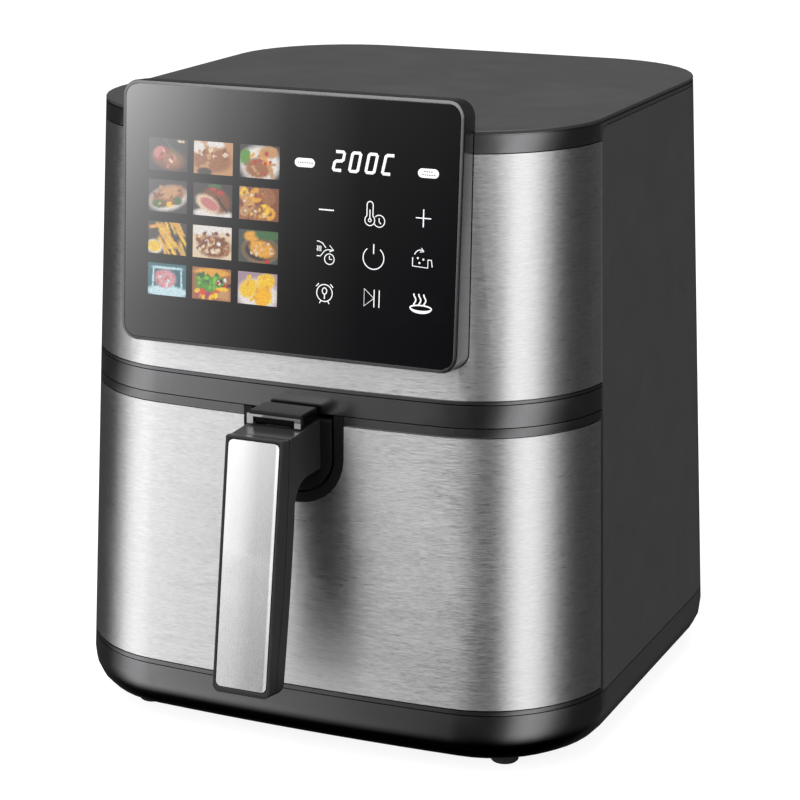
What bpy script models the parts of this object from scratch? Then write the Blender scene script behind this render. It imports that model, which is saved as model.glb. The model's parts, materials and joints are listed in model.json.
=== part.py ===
"""Counter-top air fryer: a tapered casing, a drawer with a pan and a latched basket, and a display.

The casing is a rounded rectangle in plan that widens towards the floor. Every casing panel is a
profile of (inset, height) pairs carried along that plan, so all of them follow the same surface.
+Z is up, the front faces -Y, and the origin is on the floor under the middle of the footprint.
"""

import math

import bmesh
import bpy
from mathutils import Matrix, Vector

# ---------------------------------------------------------------- driving dimensions, in metres
# Clearances
GAP = 0.0003                # between pieces that touch
SEAM = 0.0005               # open line between neighbouring casing panels
STEEL_LINE = 0.0006         # dark line between a steel panel and the lips round it
RUNNING = 0.0005            # around a piece that slides

# Casing, from the floor upwards
FOOT_HEIGHT = 0.0058
BASE_HEIGHT = 0.0297        # base tray, bottom to rim
DRAWER_HEIGHT = 0.1488      # drawer front
BAND_HEIGHT = 0.0112        # dark band above the drawer
UPPER_HEIGHT = 0.1232       # upper front panel
TOP_BAND_HEIGHT = 0.0113    # band under the lid at the front
SIDE_BAND_HEIGHT = 0.0048   # the same band at the sides and back

# Casing plan at the lid, and how it widens per metre of drop
LID_HALF_WIDTH = 0.1353
LID_FRONT = 0.1562
LID_BACK = 0.1114
SIDE_TAPER = 0.0424
FRONT_TAPER = 0.0279
BACK_TAPER = 0.0188
FRONT_CORNER = 0.0618
BACK_CORNER = 0.0676
FRONT_CROWN = 0.0078        # how far the front bulges at its middle
SEAM_SETBACK = 0.0605       # front of the lid to the side seam
SEAM_RAKE = 0.0194

# Casing walls and trims
CASE_WALL = 0.0024
STEEL_SKIN = 0.0008
BASE_FILLET = 0.0205
LOWER_LIP = 0.0021          # frame strip under the drawer's steel
UPPER_LIP = 0.0044          # frame strip above it
SIDE_LIP = 0.0018           # frame strip beside it
PANEL_LIP = 0.0014          # frame strip under the upper steel
BAND_SHELF = 0.012
LID_THICKNESS = 0.0016
LID_EDGE = 0.0003           # softened upper edge of the lid
LID_GROOVE = 0.0012         # depth of the dark line under the lid
LID_PLUG = 0.0015           # how far the lid's middle reaches down into the band

# Feet and base screws
FOOT_RADIUS = 0.0073
FOOT_FROM_SIDE = 0.0455
FOOT_FROM_FRONT = 0.0294
FOOT_FROM_BACK = 0.0300
SCREW_RADIUS = 0.0038
SCREW_HEAD = 0.0016
BASE_SCREW_REACH = 0.030    # from a foot towards the middle

# Display
DISPLAY_HALF_WIDTH = 0.0923
DISPLAY_HEIGHT = 0.1316
DISPLAY_THICKNESS = 0.0128  # at its top edge
DISPLAY_FLARE = 0.0042      # how much thicker it is at its bottom edge
DISPLAY_CORNER = 0.0085
DISPLAY_LEAN = math.radians(4.27)
DISPLAY_PROUD = 0.0107      # bottom edge ahead of the casing's crown
DISPLAY_RISE = 0.0158       # top edge above the lid
DISPLAY_RIM = 0.0018
DISPLAY_BEVEL = 0.0010
DISPLAY_WALL = 0.0018
GLASS_THICKNESS = 0.0020
BOARD_THICKNESS = 0.0016

# Drawer, pan and basket
PAN_HALF_WIDTH = 0.1125
PAN_FRONT = 0.1315
PAN_BACK = 0.0875
PAN_WALL = 0.0012
PAN_CORNER = 0.026
PAN_FILLET = 0.006
PAN_CLEAR_BASE = 0.0110     # pan's floor above the base rim
PAN_DEPTH = 0.1215
PAN_FLANGE = 0.0070
BASKET_SIDE_GAP = 0.0050
BASKET_END_GAP = 0.0060
BASKET_FLOOR_GAP = 0.0090
BASKET_WALL = 0.0010
BASKET_RISE = 0.0020        # basket's rim above the pan's
BASKET_FLANGE = 0.0020
BASKET_LEDGE = 0.0050       # inward ledge that carries the basket's floor plate
BASKET_SLOT = (0.0046, 0.0240)
INNER_COVER_HALF_WIDTH = 0.1170
INNER_COVER_DEPTH = 0.0082
INNER_COVER_WALL = 0.0020
DRAWER_TRAVEL = 0.220

# Escutcheon, plate and strap that carry the handle
ESCUTCHEON_HALF_WIDTH = 0.0276
ESCUTCHEON_DROP = 0.0474    # from the drawer's top edge to the escutcheon's lowest point
ESCUTCHEON_CORNER = 0.0245
ESCUTCHEON_PROUD = 0.0004
ESCUTCHEON_DEPTH = 0.0096
ESCUTCHEON_WALL = 0.0048
ESCUTCHEON_FLOOR = 0.0015
PLATE_CLEARANCE = 0.0012
PLATE_PROUD = 0.0012        # plate's face ahead of the drawer front
PLATE_THICKNESS = 0.0044
STRAP_THICKNESS = 0.0015
STRAP_HALF_WIDTH = 0.0160
STRAP_LEG = 0.0240
STRAP_TOP_DROP = 0.0108     # strap's top under the drawer's top edge

# Handle
HANDLE_HALF_WIDTH = 0.0158
HANDLE_LENGTH = 0.1290
HANDLE_LEAN = math.radians(8.84)
HANDLE_REACH = 0.0429       # handle's face ahead of the drawer front, at its top
HANDLE_TOP_DROP = 0.0028    # handle's top under the drawer's top edge
HANDLE_THICKNESS = 0.0163
HANDLE_BELLY = 0.0018
SHELL_THICKNESS = 0.0072    # front shell, at its ends
SHELL_BELLY = 0.0029
HANDLE_BORDER = 0.0020
HANDLE_FOOT_BORDER = 0.0032 # below the insert
HANDLE_LOW_CORNER = 0.0048
HANDLE_TOP_CORNER = 0.0024
HANDLE_HEEL = 0.0060        # round lower rear corner
INSERT_THICKNESS = 0.0016
INSERT_CORNER = 0.0026
NECK_HEIGHT = 0.0253
NECK_FILLET = 0.0140

# Release button, its spring, the bolt and the sliding cover
BUTTON_HALF_WIDTH = 0.0068
BUTTON_HALF_DEPTH = 0.0044
BUTTON_SETBACK = 0.0168     # button's middle behind the strap plate's face
BUTTON_HEIGHT = 0.0040
BUTTON_SUNK = 0.0006
BUTTON_TRAVEL = 0.0030
STEM_HALF_WIDTH = 0.0024
STEM_HALF_DEPTH = 0.0015
SPRING_HEIGHT = 0.0052
SPRING_RADIUS = 0.0036
SPRING_WIRE = 0.0004
SPRING_TURNS = 4
BOLT_HALF_WIDTH = 0.0040
BOLT_FLOOR = 0.0040         # bolt's underside above the neck's underside
BOLT_BASE = 0.0012
BOLT_TAIL = 0.0050
BOLT_RAMP_HEIGHT = 0.0080
BOLT_NOSE = 0.0035
COVER_HALF_WIDTH = 0.0148
COVER_DEPTH = 0.0183
COVER_HEIGHT = 0.0064
COVER_TRAVEL = 0.0130
TRIM_THICKNESS = 0.0012
TRIM_LEG = 0.0034
TRIM_DROP = 0.0014          # trim's top under the cover's top

# Cooking chamber, heater and fan
LINER_HALF_WIDTH = 0.1235
LINER_FRONT = 0.1300
LINER_BACK = 0.0985
LINER_WALL = 0.0012
LINER_CORNER = 0.030
LINER_CLEAR_BASE = 0.0060
LINER_HEADROOM = 0.0062     # liner's ceiling above the drawer front
DOME_RADIUS = 0.0950
DOME_HEIGHT = 0.0420
DOME_WALL = 0.0010
DOME_FLANGE = 0.0060
GUARD_THICKNESS = 0.0012
GUARD_SLOT = 0.0060
GUARD_SLOTS = 9
COIL_TUBE = 0.0032
COIL_RADIUS = 0.0800
COIL_SPACING = 0.0170
COIL_LIFT = 0.0110
COIL_SWEEP = math.radians(336)
TERMINAL_HEIGHT = 0.0060
FAN_RADIUS = 0.0540
FAN_LIFT = 0.0210
FAN_BLADES = 8
FAN_BLADE_HEIGHT = 0.0090
FAN_DISC = 0.0014
SHAFT_RADIUS = 0.0040
SHAFT_NUT_RADIUS = 0.0070
MOTOR_RADIUS = 0.0300
MOTOR_HEIGHT = 0.0380
BRACKET_THICKNESS = 0.0016
BRACKET_HALF_LENGTH = 0.0700
BRACKET_HALF_WIDTH = 0.0180
BRACKET_STEP = 0.0070
COOLING_RADIUS = 0.0450
COOLING_BLADES = 10
COOLING_BLADE_HEIGHT = 0.0080
RAIL_WIDTH = 0.0068
RAIL_HEIGHT = 0.0080
RAIL_LENGTH = 0.210

# Rear and electrical pieces
VENT_HALF_WIDTH = 0.0450
VENT_HEIGHT = 0.0500
VENT_LIFT = 0.0450          # vent's lower edge above the dark band
VENT_SLOTS = 7
VENT_SLOT = 0.0034
VENT_SLOT_HALF = 0.0390
GLAND_RADIUS = 0.0095
GLAND_BARREL = 0.0062
GLAND_BORE = 0.0036
GLAND_STAND = 0.0040
GLAND_X = 0.0700
GLAND_LIFT = 0.0280
CONTROL_BOARD = (0.0950, 0.0650)
CONTROL_BOARD_SETBACK = 0.0180

# ---------------------------------------------------------------- levels and places worked out
Z_BASE = FOOT_HEIGHT
Z_DRAWER = Z_BASE + BASE_HEIGHT
Z_BAND = Z_DRAWER + DRAWER_HEIGHT
Z_UPPER = Z_BAND + BAND_HEIGHT
Z_TOP_BAND = Z_UPPER + UPPER_HEIGHT
Z_LID = Z_TOP_BAND + TOP_BAND_HEIGHT
PANEL_CORNER = TOP_BAND_HEIGHT - SIDE_BAND_HEIGHT   # round corner where the band narrows

PAN_Z = Z_DRAWER + PAN_CLEAR_BASE
PAN_RIM_Z = PAN_Z + PAN_DEPTH
BASKET_Z = PAN_Z + BASKET_FLOOR_GAP
BASKET_RIM_Z = PAN_RIM_Z + BASKET_RISE
BASKET_HALF_WIDTH = PAN_HALF_WIDTH - BASKET_SIDE_GAP
BASKET_FRONT = PAN_FRONT - BASKET_END_GAP
BASKET_BACK = PAN_BACK - BASKET_END_GAP
LINER_Z = Z_DRAWER + LINER_CLEAR_BASE
CEILING_Z = Z_BAND + LINER_HEADROOM
DOME_TOP_Z = CEILING_Z + DOME_HEIGHT
FAN_Y = (LINER_BACK - LINER_FRONT) / 2
COIL_Z = CEILING_Z + COIL_LIFT
FAN_Z = CEILING_Z + FAN_LIFT
MOTOR_Z = DOME_TOP_Z + BRACKET_STEP + BRACKET_THICKNESS + GAP
COOLING_Z = MOTOR_Z + MOTOR_HEIGHT + 0.005
SHAFT_BOTTOM_Z = FAN_Z - 0.0030
SHAFT_TOP_Z = COOLING_Z + FAN_DISC + 0.0060

STRAP_TOP_Z = Z_BAND - STRAP_TOP_DROP
NECK_TOP_Z = Z_BAND - HANDLE_TOP_DROP
NECK_Z = NECK_TOP_Z - NECK_HEIGHT
BOLT_Z = NECK_Z + BOLT_FLOOR


# ---------------------------------------------------------------- the casing's surface
def half_width(z):
    return LID_HALF_WIDTH + SIDE_TAPER * (Z_LID - z)


def front_edge(z):
    return -LID_FRONT - FRONT_TAPER * (Z_LID - z)


def back_edge(z):
    return LID_BACK + BACK_TAPER * (Z_LID - z)


def seam_edge(z):
    return front_edge(z) + SEAM_SETBACK - SEAM_RAKE * (Z_LID - z)


def crowned(x, y, z):
    """A point of the plan, moved forward by the crown if it is in the front half."""
    middle = (front_edge(z) + back_edge(z)) / 2
    if y < middle:
        share = (middle - y) / (middle - front_edge(z))
        y -= FRONT_CROWN * (1 - (x / half_width(z)) ** 2) * share
    return Vector((x, y, z))


def crown_front(z):
    """Y of the casing's front at its middle."""
    return front_edge(z) - FRONT_CROWN


def side_angle(y, z, inset):
    """Angle on the front corner's arc that lies at y: zero where the straight side begins."""
    centre = front_edge(z) + FRONT_CORNER
    share = (centre - y) / (FRONT_CORNER - inset)
    return math.asin(min(max(share, 0.0), 1.0))


def side_point(side, y, z, inset):
    """A point on the side of the plan at y, on the straight part or on the front corner."""
    angle = side_angle(y, z, inset)
    x = half_width(z) - FRONT_CORNER + (FRONT_CORNER - inset) * math.cos(angle)
    return crowned(side * x, y, z)


def front_corner_point(side, share, z, inset):
    start = side_angle(seam_edge(z) - SIDE_LIP - STEEL_LINE, z, inset)
    angle = start + (math.pi / 2 - start) * share
    radius = FRONT_CORNER - inset
    x = half_width(z) - FRONT_CORNER + radius * math.cos(angle)
    y = front_edge(z) + FRONT_CORNER - radius * math.sin(angle)
    return crowned(side * x, y, z)


def back_corner_point(side, share, z, inset):
    angle = math.pi / 2 * share
    radius = BACK_CORNER - inset
    x = half_width(z) - BACK_CORNER + radius * math.cos(angle)
    y = back_edge(z) - BACK_CORNER + radius * math.sin(angle)
    return Vector((side * x, y, z))


def section_point(station, z, inset):
    """The point of the plan at a station, at height z and this far inside the surface."""
    kind, side, value = station
    if kind == "seam":
        return side_point(side, seam_edge(z) + value, z, inset)
    if kind == "front_corner":
        return front_corner_point(side, value, z, inset)
    if kind == "back_corner":
        return back_corner_point(side, value, z, inset)
    straight = half_width(z) - (FRONT_CORNER if kind == "front" else BACK_CORNER)
    if kind == "front":
        return crowned(straight * value, front_edge(z) + inset, z)
    return Vector((straight * value, back_edge(z) - inset, z))


CORNER_STEPS = 10
FRONT_STEPS = 10
PANEL_CORNER_STEPS = 4


def front_stations(lips=True):
    """Stations round the front, from the left seam to the right one."""
    lip = [0.0, -SIDE_LIP, -SIDE_LIP - GAP] if lips else [-SIDE_LIP - STEEL_LINE]
    left = [("seam", -1, value) for value in lip]
    left += [("front_corner", -1, i / CORNER_STEPS) for i in range(1, CORNER_STEPS)]
    across = [("front", 0, 2 * i / FRONT_STEPS - 1) for i in range(FRONT_STEPS + 1)]
    return left + across + [(kind, 1, value) for kind, _, value in reversed(left)]


def back_stations():
    """Stations round the back, from the right seam to the left one."""
    turns = [math.pi / 2 * i / PANEL_CORNER_STEPS for i in range(PANEL_CORNER_STEPS + 1)]
    steps = [SEAM + PANEL_CORNER * (1 - math.cos(turn)) for turn in turns]
    right = [("seam", 1, value) for value in steps]
    right += [("back_corner", 1, i / CORNER_STEPS) for i in range(CORNER_STEPS + 1)]
    return right + [(kind, -1, value) for kind, _, value in reversed(right)]


def side_band_edge(station, front_z):
    """Lower edge of the top band: level at the front, then up a round corner to the sides."""
    kind, _, value = station
    if kind == "seam" and value > 0:
        run = min(max(value - SEAM, 0.0), PANEL_CORNER)
        return front_z + math.sqrt(PANEL_CORNER**2 - (PANEL_CORNER - run) ** 2)
    return front_z + PANEL_CORNER if kind.startswith("back") else front_z


# ---------------------------------------------------------------- making objects
def clear_scene():
    for item in list(bpy.data.objects):
        bpy.data.objects.remove(item, do_unlink=True)


def material(name, colour, roughness, metallic=0.0):
    """A Principled material, made once for each name."""
    found = bpy.data.materials.get(name)
    if found:
        return found
    made = bpy.data.materials.new(name)
    made.use_nodes = True
    shader = made.node_tree.nodes["Principled BSDF"]
    shader.inputs["Base Color"].default_value = (*colour, 1.0)
    shader.inputs["Roughness"].default_value = roughness
    shader.inputs["Metallic"].default_value = metallic
    made.diffuse_color = (*colour, 1.0)
    return made


def charcoal():
    return material("charcoal_plastic", (0.055, 0.055, 0.057), 0.42)


def black():
    return material("black_plastic", (0.012, 0.012, 0.013), 0.30)


def brushed():
    return material("brushed_steel", (0.62, 0.62, 0.61), 0.28, 1.0)


def sheet():
    return material("plated_sheet", (0.55, 0.55, 0.54), 0.38, 1.0)


def coated():
    return material("nonstick_coating", (0.035, 0.035, 0.037), 0.45)


def rubber():
    return material("foot_rubber", (0.02, 0.02, 0.02), 0.85)


def chrome():
    return material("chrome_trim", (0.82, 0.82, 0.83), 0.10, 1.0)


def empty(name, place, parent=None):
    made = bpy.data.objects.new(name, None)
    made.empty_display_size = 0.02
    made.location = place
    made.parent = parent
    bpy.context.scene.collection.objects.link(made)
    return made


def link(name, mesh, finish, smooth=True):
    if finish:
        mesh.materials.append(finish)
    if smooth:
        mesh.shade_smooth()
        mesh.set_sharp_from_angle(angle=math.radians(32))
    made = bpy.data.objects.new(name, mesh)
    bpy.context.scene.collection.objects.link(made)
    return made


def skin(name, rings, finish, loop=False):
    """A closed body over rings of points. A loop joins its last ring to the first, else both are capped."""
    shape = bmesh.new()
    rows = [[shape.verts.new(point) for point in ring] for ring in rings]
    count = len(rows[0])
    pairs = list(zip(rows, rows[1:]))
    if loop:
        pairs.append((rows[-1], rows[0]))
    for low, high in pairs:
        for i in range(count):
            j = (i + 1) % count
            shape.faces.new((low[i], low[j], high[j], high[i]))
    if not loop:
        shape.faces.new(list(reversed(rows[0])))
        shape.faces.new(rows[-1])
    bmesh.ops.recalc_face_normals(shape, faces=shape.faces)
    mesh = bpy.data.meshes.new(name)
    shape.to_mesh(mesh)
    shape.free()
    return link(name, mesh, finish)


def sweep(name, stations, profile, finish, loop=False):
    """A profile of (inset, height) pairs carried along the casing's plan."""
    rings = []
    for station in stations:
        pairs = profile(station) if callable(profile) else profile
        rings.append([section_point(station, z, inset) for inset, z in pairs])
    return skin(name, rings, finish, loop)


def stack(name, levels, finish):
    """A closed body of whole casing sections, one for each (inset, height)."""
    stations = front_stations() + back_stations()
    rings = [[section_point(station, z, inset) for station in stations] for inset, z in levels]
    return skin(name, rings, finish)


def rounded_rectangle(half_x, half_y, radius, steps=6, centre=(0.0, 0.0)):
    points = []
    for turn, (sx, sy) in enumerate(((1, 1), (-1, 1), (-1, -1), (1, -1))):
        for i in range(steps + 1):
            angle = math.pi / 2 * (turn + i / steps)
            x = centre[0] + sx * (half_x - radius) + radius * math.cos(angle)
            y = centre[1] + sy * (half_y - radius) + radius * math.sin(angle)
            points.append((x, y))
    return points


def tongue(half_x, bottom, top, radius, steps=8):
    """An upright outline with a square top and a round bottom."""
    points = [(half_x, top), (-half_x, top)]
    for side, start in ((-1, math.pi), (1, 3 * math.pi / 2)):
        for i in range(steps + 1):
            angle = start + math.pi / 2 * i / steps
            x = side * (half_x - radius) + radius * math.cos(angle)
            points.append((x, bottom + radius + radius * math.sin(angle)))
    return points


def prism(name, outline, plane, low, high, finish, place=None):
    """An outline drawn in a plane, extruded between two positions on the plane's normal."""
    orders = {"XY": (0, 1, 2), "XZ": (0, 2, 1), "YZ": (1, 2, 0)}
    first, second, normal = orders[plane]
    rings = []
    for level in (low, high):
        ring = []
        for a, b in outline:
            point = Vector()
            point[first] = a
            point[second] = b
            point[normal] = level
            ring.append(place @ point if place else point)
        rings.append(ring)
    return skin(name, rings, finish)


def box(name, low, high, finish, place=None):
    outline = [(low[0], low[1]), (high[0], low[1]), (high[0], high[1]), (low[0], high[1])]
    return prism(name, outline, "XY", low[2], high[2], finish, place)


def boxes(name, limits):
    """Separate boxes in one mesh, used as a cutter."""
    shape = bmesh.new()
    for low, high in limits:
        middle = (Vector(low) + Vector(high)) / 2
        size = Vector(high) - Vector(low)
        place = Matrix.Translation(middle) @ Matrix.Diagonal((*size, 1.0))
        bmesh.ops.create_cube(shape, size=1.0, matrix=place)
    mesh = bpy.data.meshes.new(name)
    shape.to_mesh(mesh)
    shape.free()
    return link(name, mesh, None, smooth=False)


def turned(name, profile, centre, finish, axis="Z", steps=24):
    """A profile of (radius, height) pairs turned about an axis. Ends on the axis are closed by caps."""
    loop = profile[0][0] > 0 and profile[-1][0] > 0
    inner = [pair for pair in profile if pair[0] > 0]
    turn = Matrix.Rotation(-math.pi / 2, 4, "X") if axis == "Y" else Matrix.Identity(4)
    if axis == "X":
        turn = Matrix.Rotation(math.pi / 2, 4, "Y")
    place = Matrix.Translation(centre) @ turn
    rings = []
    for radius, height in inner:
        angles = [2 * math.pi * i / steps for i in range(steps)]
        ring = [(radius * math.cos(angle), radius * math.sin(angle), height) for angle in angles]
        rings.append([place @ Vector(point) for point in ring])
    return skin(name, rings, finish, loop)


def cut(target, *cutters, operation="DIFFERENCE"):
    """Boolean cutters, hidden and left out of the model."""
    for cutter in cutters:
        cutter.hide_render = True
        cutter.display_type = "WIRE"
        change = target.modifiers.new(cutter.name, "BOOLEAN")
        change.operation = operation
        change.solver = "EXACT"
        change.object = cutter
    return target


def bevel(target, width, segments=2, angle=40):
    change = target.modifiers.new("bevel", "BEVEL")
    change.width = width
    change.segments = segments
    change.limit_method = "ANGLE"
    change.angle_limit = math.radians(angle)
    change.harden_normals = False
    return target


def wire(name, points, radius, finish, resolution=2):
    """A tube of this radius along a list of points."""
    path = bpy.data.curves.new(name, "CURVE")
    path.dimensions = "3D"
    path.bevel_depth = radius
    path.bevel_resolution = resolution
    path.use_fill_caps = True
    line = path.splines.new("POLY")
    line.points.add(len(points) - 1)
    for spot, point in zip(line.points, points):
        spot.co = (*point, 1.0)
    path.materials.append(finish)
    made = bpy.data.objects.new(name, path)
    bpy.context.scene.collection.objects.link(made)
    return made


# ---------------------------------------------------------------- casing
def base_tray():
    """Tray with a rounded underside that carries the casing."""
    steps = 5
    turns = [math.pi / 2 * i / steps for i in range(steps + 1)]
    rim = Z_DRAWER - SEAM
    outside = [(BASE_FILLET * (1 - math.sin(t)), Z_BASE + BASE_FILLET * (1 - math.cos(t))) for t in turns]
    inner = BASE_FILLET - CASE_WALL
    inside = [
        (BASE_FILLET - inner * math.sin(t), Z_BASE + BASE_FILLET - inner * math.cos(t)) for t in reversed(turns)
    ]
    levels = outside + [(0.0, rim), (CASE_WALL, rim)] + inside
    return [stack("base_tray", levels, charcoal())]


def foot_places():
    x = half_width(Z_BASE) - FOOT_FROM_SIDE
    front = front_edge(Z_BASE) + FOOT_FROM_FRONT
    back = back_edge(Z_BASE) - FOOT_FROM_BACK
    return {
        "front_left": (-x, front),
        "front_right": (x, front),
        "rear_left": (-x, back),
        "rear_right": (x, back),
    }


def feet_and_screws():
    """A rubber foot near each corner, and a screw further in."""
    made = []
    top = Z_BASE - GAP
    for name, (x, y) in foot_places().items():
        profile = [(0, 0), (FOOT_RADIUS - 0.0008, 0), (FOOT_RADIUS, 0.0008), (FOOT_RADIUS, top), (0, top)]
        made.append(turned(f"foot_{name}", profile, (x, y, 0), rubber(), steps=20))
        inward = 1 - BASE_SCREW_REACH / math.hypot(x, y)
        head = [(0, top - SCREW_HEAD), (SCREW_RADIUS * 0.7, top - SCREW_HEAD)]
        head += [(SCREW_RADIUS, top - SCREW_HEAD / 2), (SCREW_RADIUS, top), (0, top)]
        place = (x * inward, y * inward, 0)
        made.append(turned(f"base_screw_{name}", head, place, sheet(), steps=12))
    return made


def outer_shell(vent, gland_hole):
    """Sides and back in one wrap, open at the front."""
    low = Z_DRAWER

    def profile(station):
        high = side_band_edge(station, Z_TOP_BAND)
        return [(0.0, low), (0.0, high), (CASE_WALL, high), (CASE_WALL, low)]

    shell = sweep("outer_shell", back_stations(), profile, charcoal())
    return [cut(shell, vent, gland_hole)]


def top_frame(recess):
    """Band under the lid, deep at the front and shallow at the sides. A groove runs under the lid."""
    rim = Z_LID - LID_THICKNESS - GAP

    def profile(station):
        low = side_band_edge(station, Z_TOP_BAND) + SEAM
        return [
            (0.0, low),
            (0.0, rim - SEAM),
            (LID_GROOVE, rim - SEAM),
            (LID_GROOVE, rim),
            (CASE_WALL, rim),
            (CASE_WALL, low),
        ]

    band = sweep("top_frame", front_stations() + back_stations(), profile, charcoal(), loop=True)
    return [cut(band, recess)]


def top_cover(recess):
    """Lid over the whole plan, with a plug underneath that sits inside the band."""
    under = Z_LID - LID_THICKNESS
    plug = CASE_WALL + GAP
    levels = [(plug, under - LID_PLUG), (plug, under), (0.0, under), (0.0, Z_LID - LID_EDGE), (LID_EDGE, Z_LID)]
    return [cut(stack("top_cover", levels, charcoal()), recess)]


def upper_front(opening):
    """Plastic frame behind the upper steel, whose lower lip shows, and the steel itself."""
    behind = STEEL_SKIN + GAP
    low = Z_UPPER + SEAM
    lip = low + PANEL_LIP
    profile = [
        (0.0, low),
        (0.0, lip),
        (behind, lip),
        (behind, Z_TOP_BAND),
        (behind + CASE_WALL, Z_TOP_BAND),
        (behind + CASE_WALL, low),
    ]
    frame = sweep("upper_front_frame", front_stations(), profile, black())
    start = lip + STEEL_LINE
    steel = [(0.0, start), (0.0, Z_TOP_BAND), (STEEL_SKIN, Z_TOP_BAND), (STEEL_SKIN, start)]
    panel = sweep("upper_front_panel", front_stations(), steel, brushed())
    return [cut(frame, opening), cut(panel, opening)]


def mid_band():
    """Dark band across the front above the drawer, with a shelf that stiffens it."""
    profile = [
        (0.0, Z_BAND),
        (0.0, Z_UPPER),
        (BAND_SHELF, Z_UPPER),
        (BAND_SHELF, Z_UPPER - CASE_WALL),
        (CASE_WALL, Z_UPPER - CASE_WALL),
        (CASE_WALL, Z_BAND),
    ]
    return [sweep("mid_band", front_stations(), profile, charcoal())]


# ---------------------------------------------------------------- display
def display_place():
    """Local frame of the display: X across, Y into the casing, Z up its face."""
    rise = DISPLAY_HEIGHT * math.cos(DISPLAY_LEAN)
    bottom = Z_LID + DISPLAY_RISE - rise
    front = crown_front(bottom) - DISPLAY_PROUD
    return Matrix.Translation((0, front, bottom)) @ Matrix.Rotation(-DISPLAY_LEAN, 4, "X")


def display_ring(inset, depth, flare=0.0):
    """Outline of the display at a depth, which grows by the flare towards the bottom edge."""
    half = DISPLAY_HEIGHT / 2
    radius = max(DISPLAY_CORNER - inset, 0.001)
    outline = rounded_rectangle(DISPLAY_HALF_WIDTH - inset, half - inset, radius, centre=(0, half))
    place = display_place()
    return [place @ Vector((x, depth + flare * (1 - z / DISPLAY_HEIGHT), z)) for x, z in outline]


def display_cutter(name, depth):
    return skin(name, [display_ring(-GAP, -0.004), display_ring(-GAP, depth, DISPLAY_FLARE)], None)


def display():
    """Housing open at both faces of its middle wall, glass in front, board and cover behind."""
    wall = GLASS_THICKNESS + GAP
    housing = skin(
        "display_housing",
        [
            display_ring(DISPLAY_RIM, wall),
            display_ring(DISPLAY_RIM, 0.0),
            display_ring(DISPLAY_BEVEL, 0.0),
            display_ring(DISPLAY_BEVEL * 0.3, DISPLAY_BEVEL * 0.3),
            display_ring(0.0, DISPLAY_BEVEL),
            display_ring(0.0, DISPLAY_THICKNESS, DISPLAY_FLARE),
            display_ring(DISPLAY_WALL, DISPLAY_THICKNESS, DISPLAY_FLARE),
            display_ring(DISPLAY_WALL, wall + DISPLAY_WALL),
        ],
        black(),
    )
    rim = DISPLAY_RIM + GAP
    glass = skin(
        "display_glass",
        [display_ring(rim, 0.0), display_ring(rim, GLASS_THICKNESS)],
        material("display_glass", (0.010, 0.010, 0.012), 0.06),
    )
    front = wall + DISPLAY_WALL + GAP
    green = material("board_green", (0.02, 0.12, 0.05), 0.5)
    board = skin(
        "display_board",
        [
            display_ring(DISPLAY_WALL + 0.004, front),
            display_ring(DISPLAY_WALL + 0.004, front + BOARD_THICKNESS),
            display_ring(0.030, front + BOARD_THICKNESS),
            display_ring(0.030, front + BOARD_THICKNESS + 0.004),
        ],
        green,
    )
    inset = DISPLAY_WALL + GAP
    back = DISPLAY_THICKNESS - DISPLAY_WALL
    rings = [display_ring(inset, depth, DISPLAY_FLARE) for depth in (back, DISPLAY_THICKNESS)]
    cover = skin("display_back", rings, black())
    return [housing, glass, board, cover]


# ---------------------------------------------------------------- drawer
def drawer_front_y(z):
    return crown_front(z)


def escutcheon_outline(grow=0.0):
    bottom = Z_BAND - ESCUTCHEON_DROP - grow
    half = ESCUTCHEON_HALF_WIDTH + grow
    return tongue(half, bottom, Z_BAND + grow, ESCUTCHEON_CORNER + grow)


def escutcheon_front():
    return drawer_front_y(Z_BAND) - ESCUTCHEON_PROUD


def plate_front():
    return drawer_front_y(Z_BAND) - PLATE_PROUD


def drawer_front():
    """Frame with lips on all four sides, and the steel that lies between them."""
    low = Z_DRAWER
    high = Z_BAND - SEAM
    behind = STEEL_SKIN + GAP
    back = behind + CASE_WALL

    def profile(station):
        kind, _, value = station
        face = 0.0 if kind == "seam" and value > -SIDE_LIP - GAP else behind
        return [
            (0.0, low),
            (0.0, low + LOWER_LIP),
            (face, low + LOWER_LIP + GAP / 2),
            (face, high - UPPER_LIP - GAP / 2),
            (0.0, high - UPPER_LIP),
            (0.0, high),
            (back, high),
            (back, low),
        ]

    frame = sweep("drawer_front_frame", front_stations(), profile, black())
    z_low = low + LOWER_LIP + STEEL_LINE
    z_high = high - UPPER_LIP - STEEL_LINE
    strip = [(0.0, z_low), (0.0, z_high), (STEEL_SKIN, z_high), (STEEL_SKIN, z_low)]
    steel = sweep("drawer_front_steel", front_stations(lips=False), strip, brushed())
    reach = escutcheon_front()
    for target in (frame, steel):
        name = f"cut_{target.name}"
        cutter = prism(name, escutcheon_outline(GAP), "XZ", reach - 0.01, reach + 0.03, None)
        cut(target, cutter)
    return [frame, steel]


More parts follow.
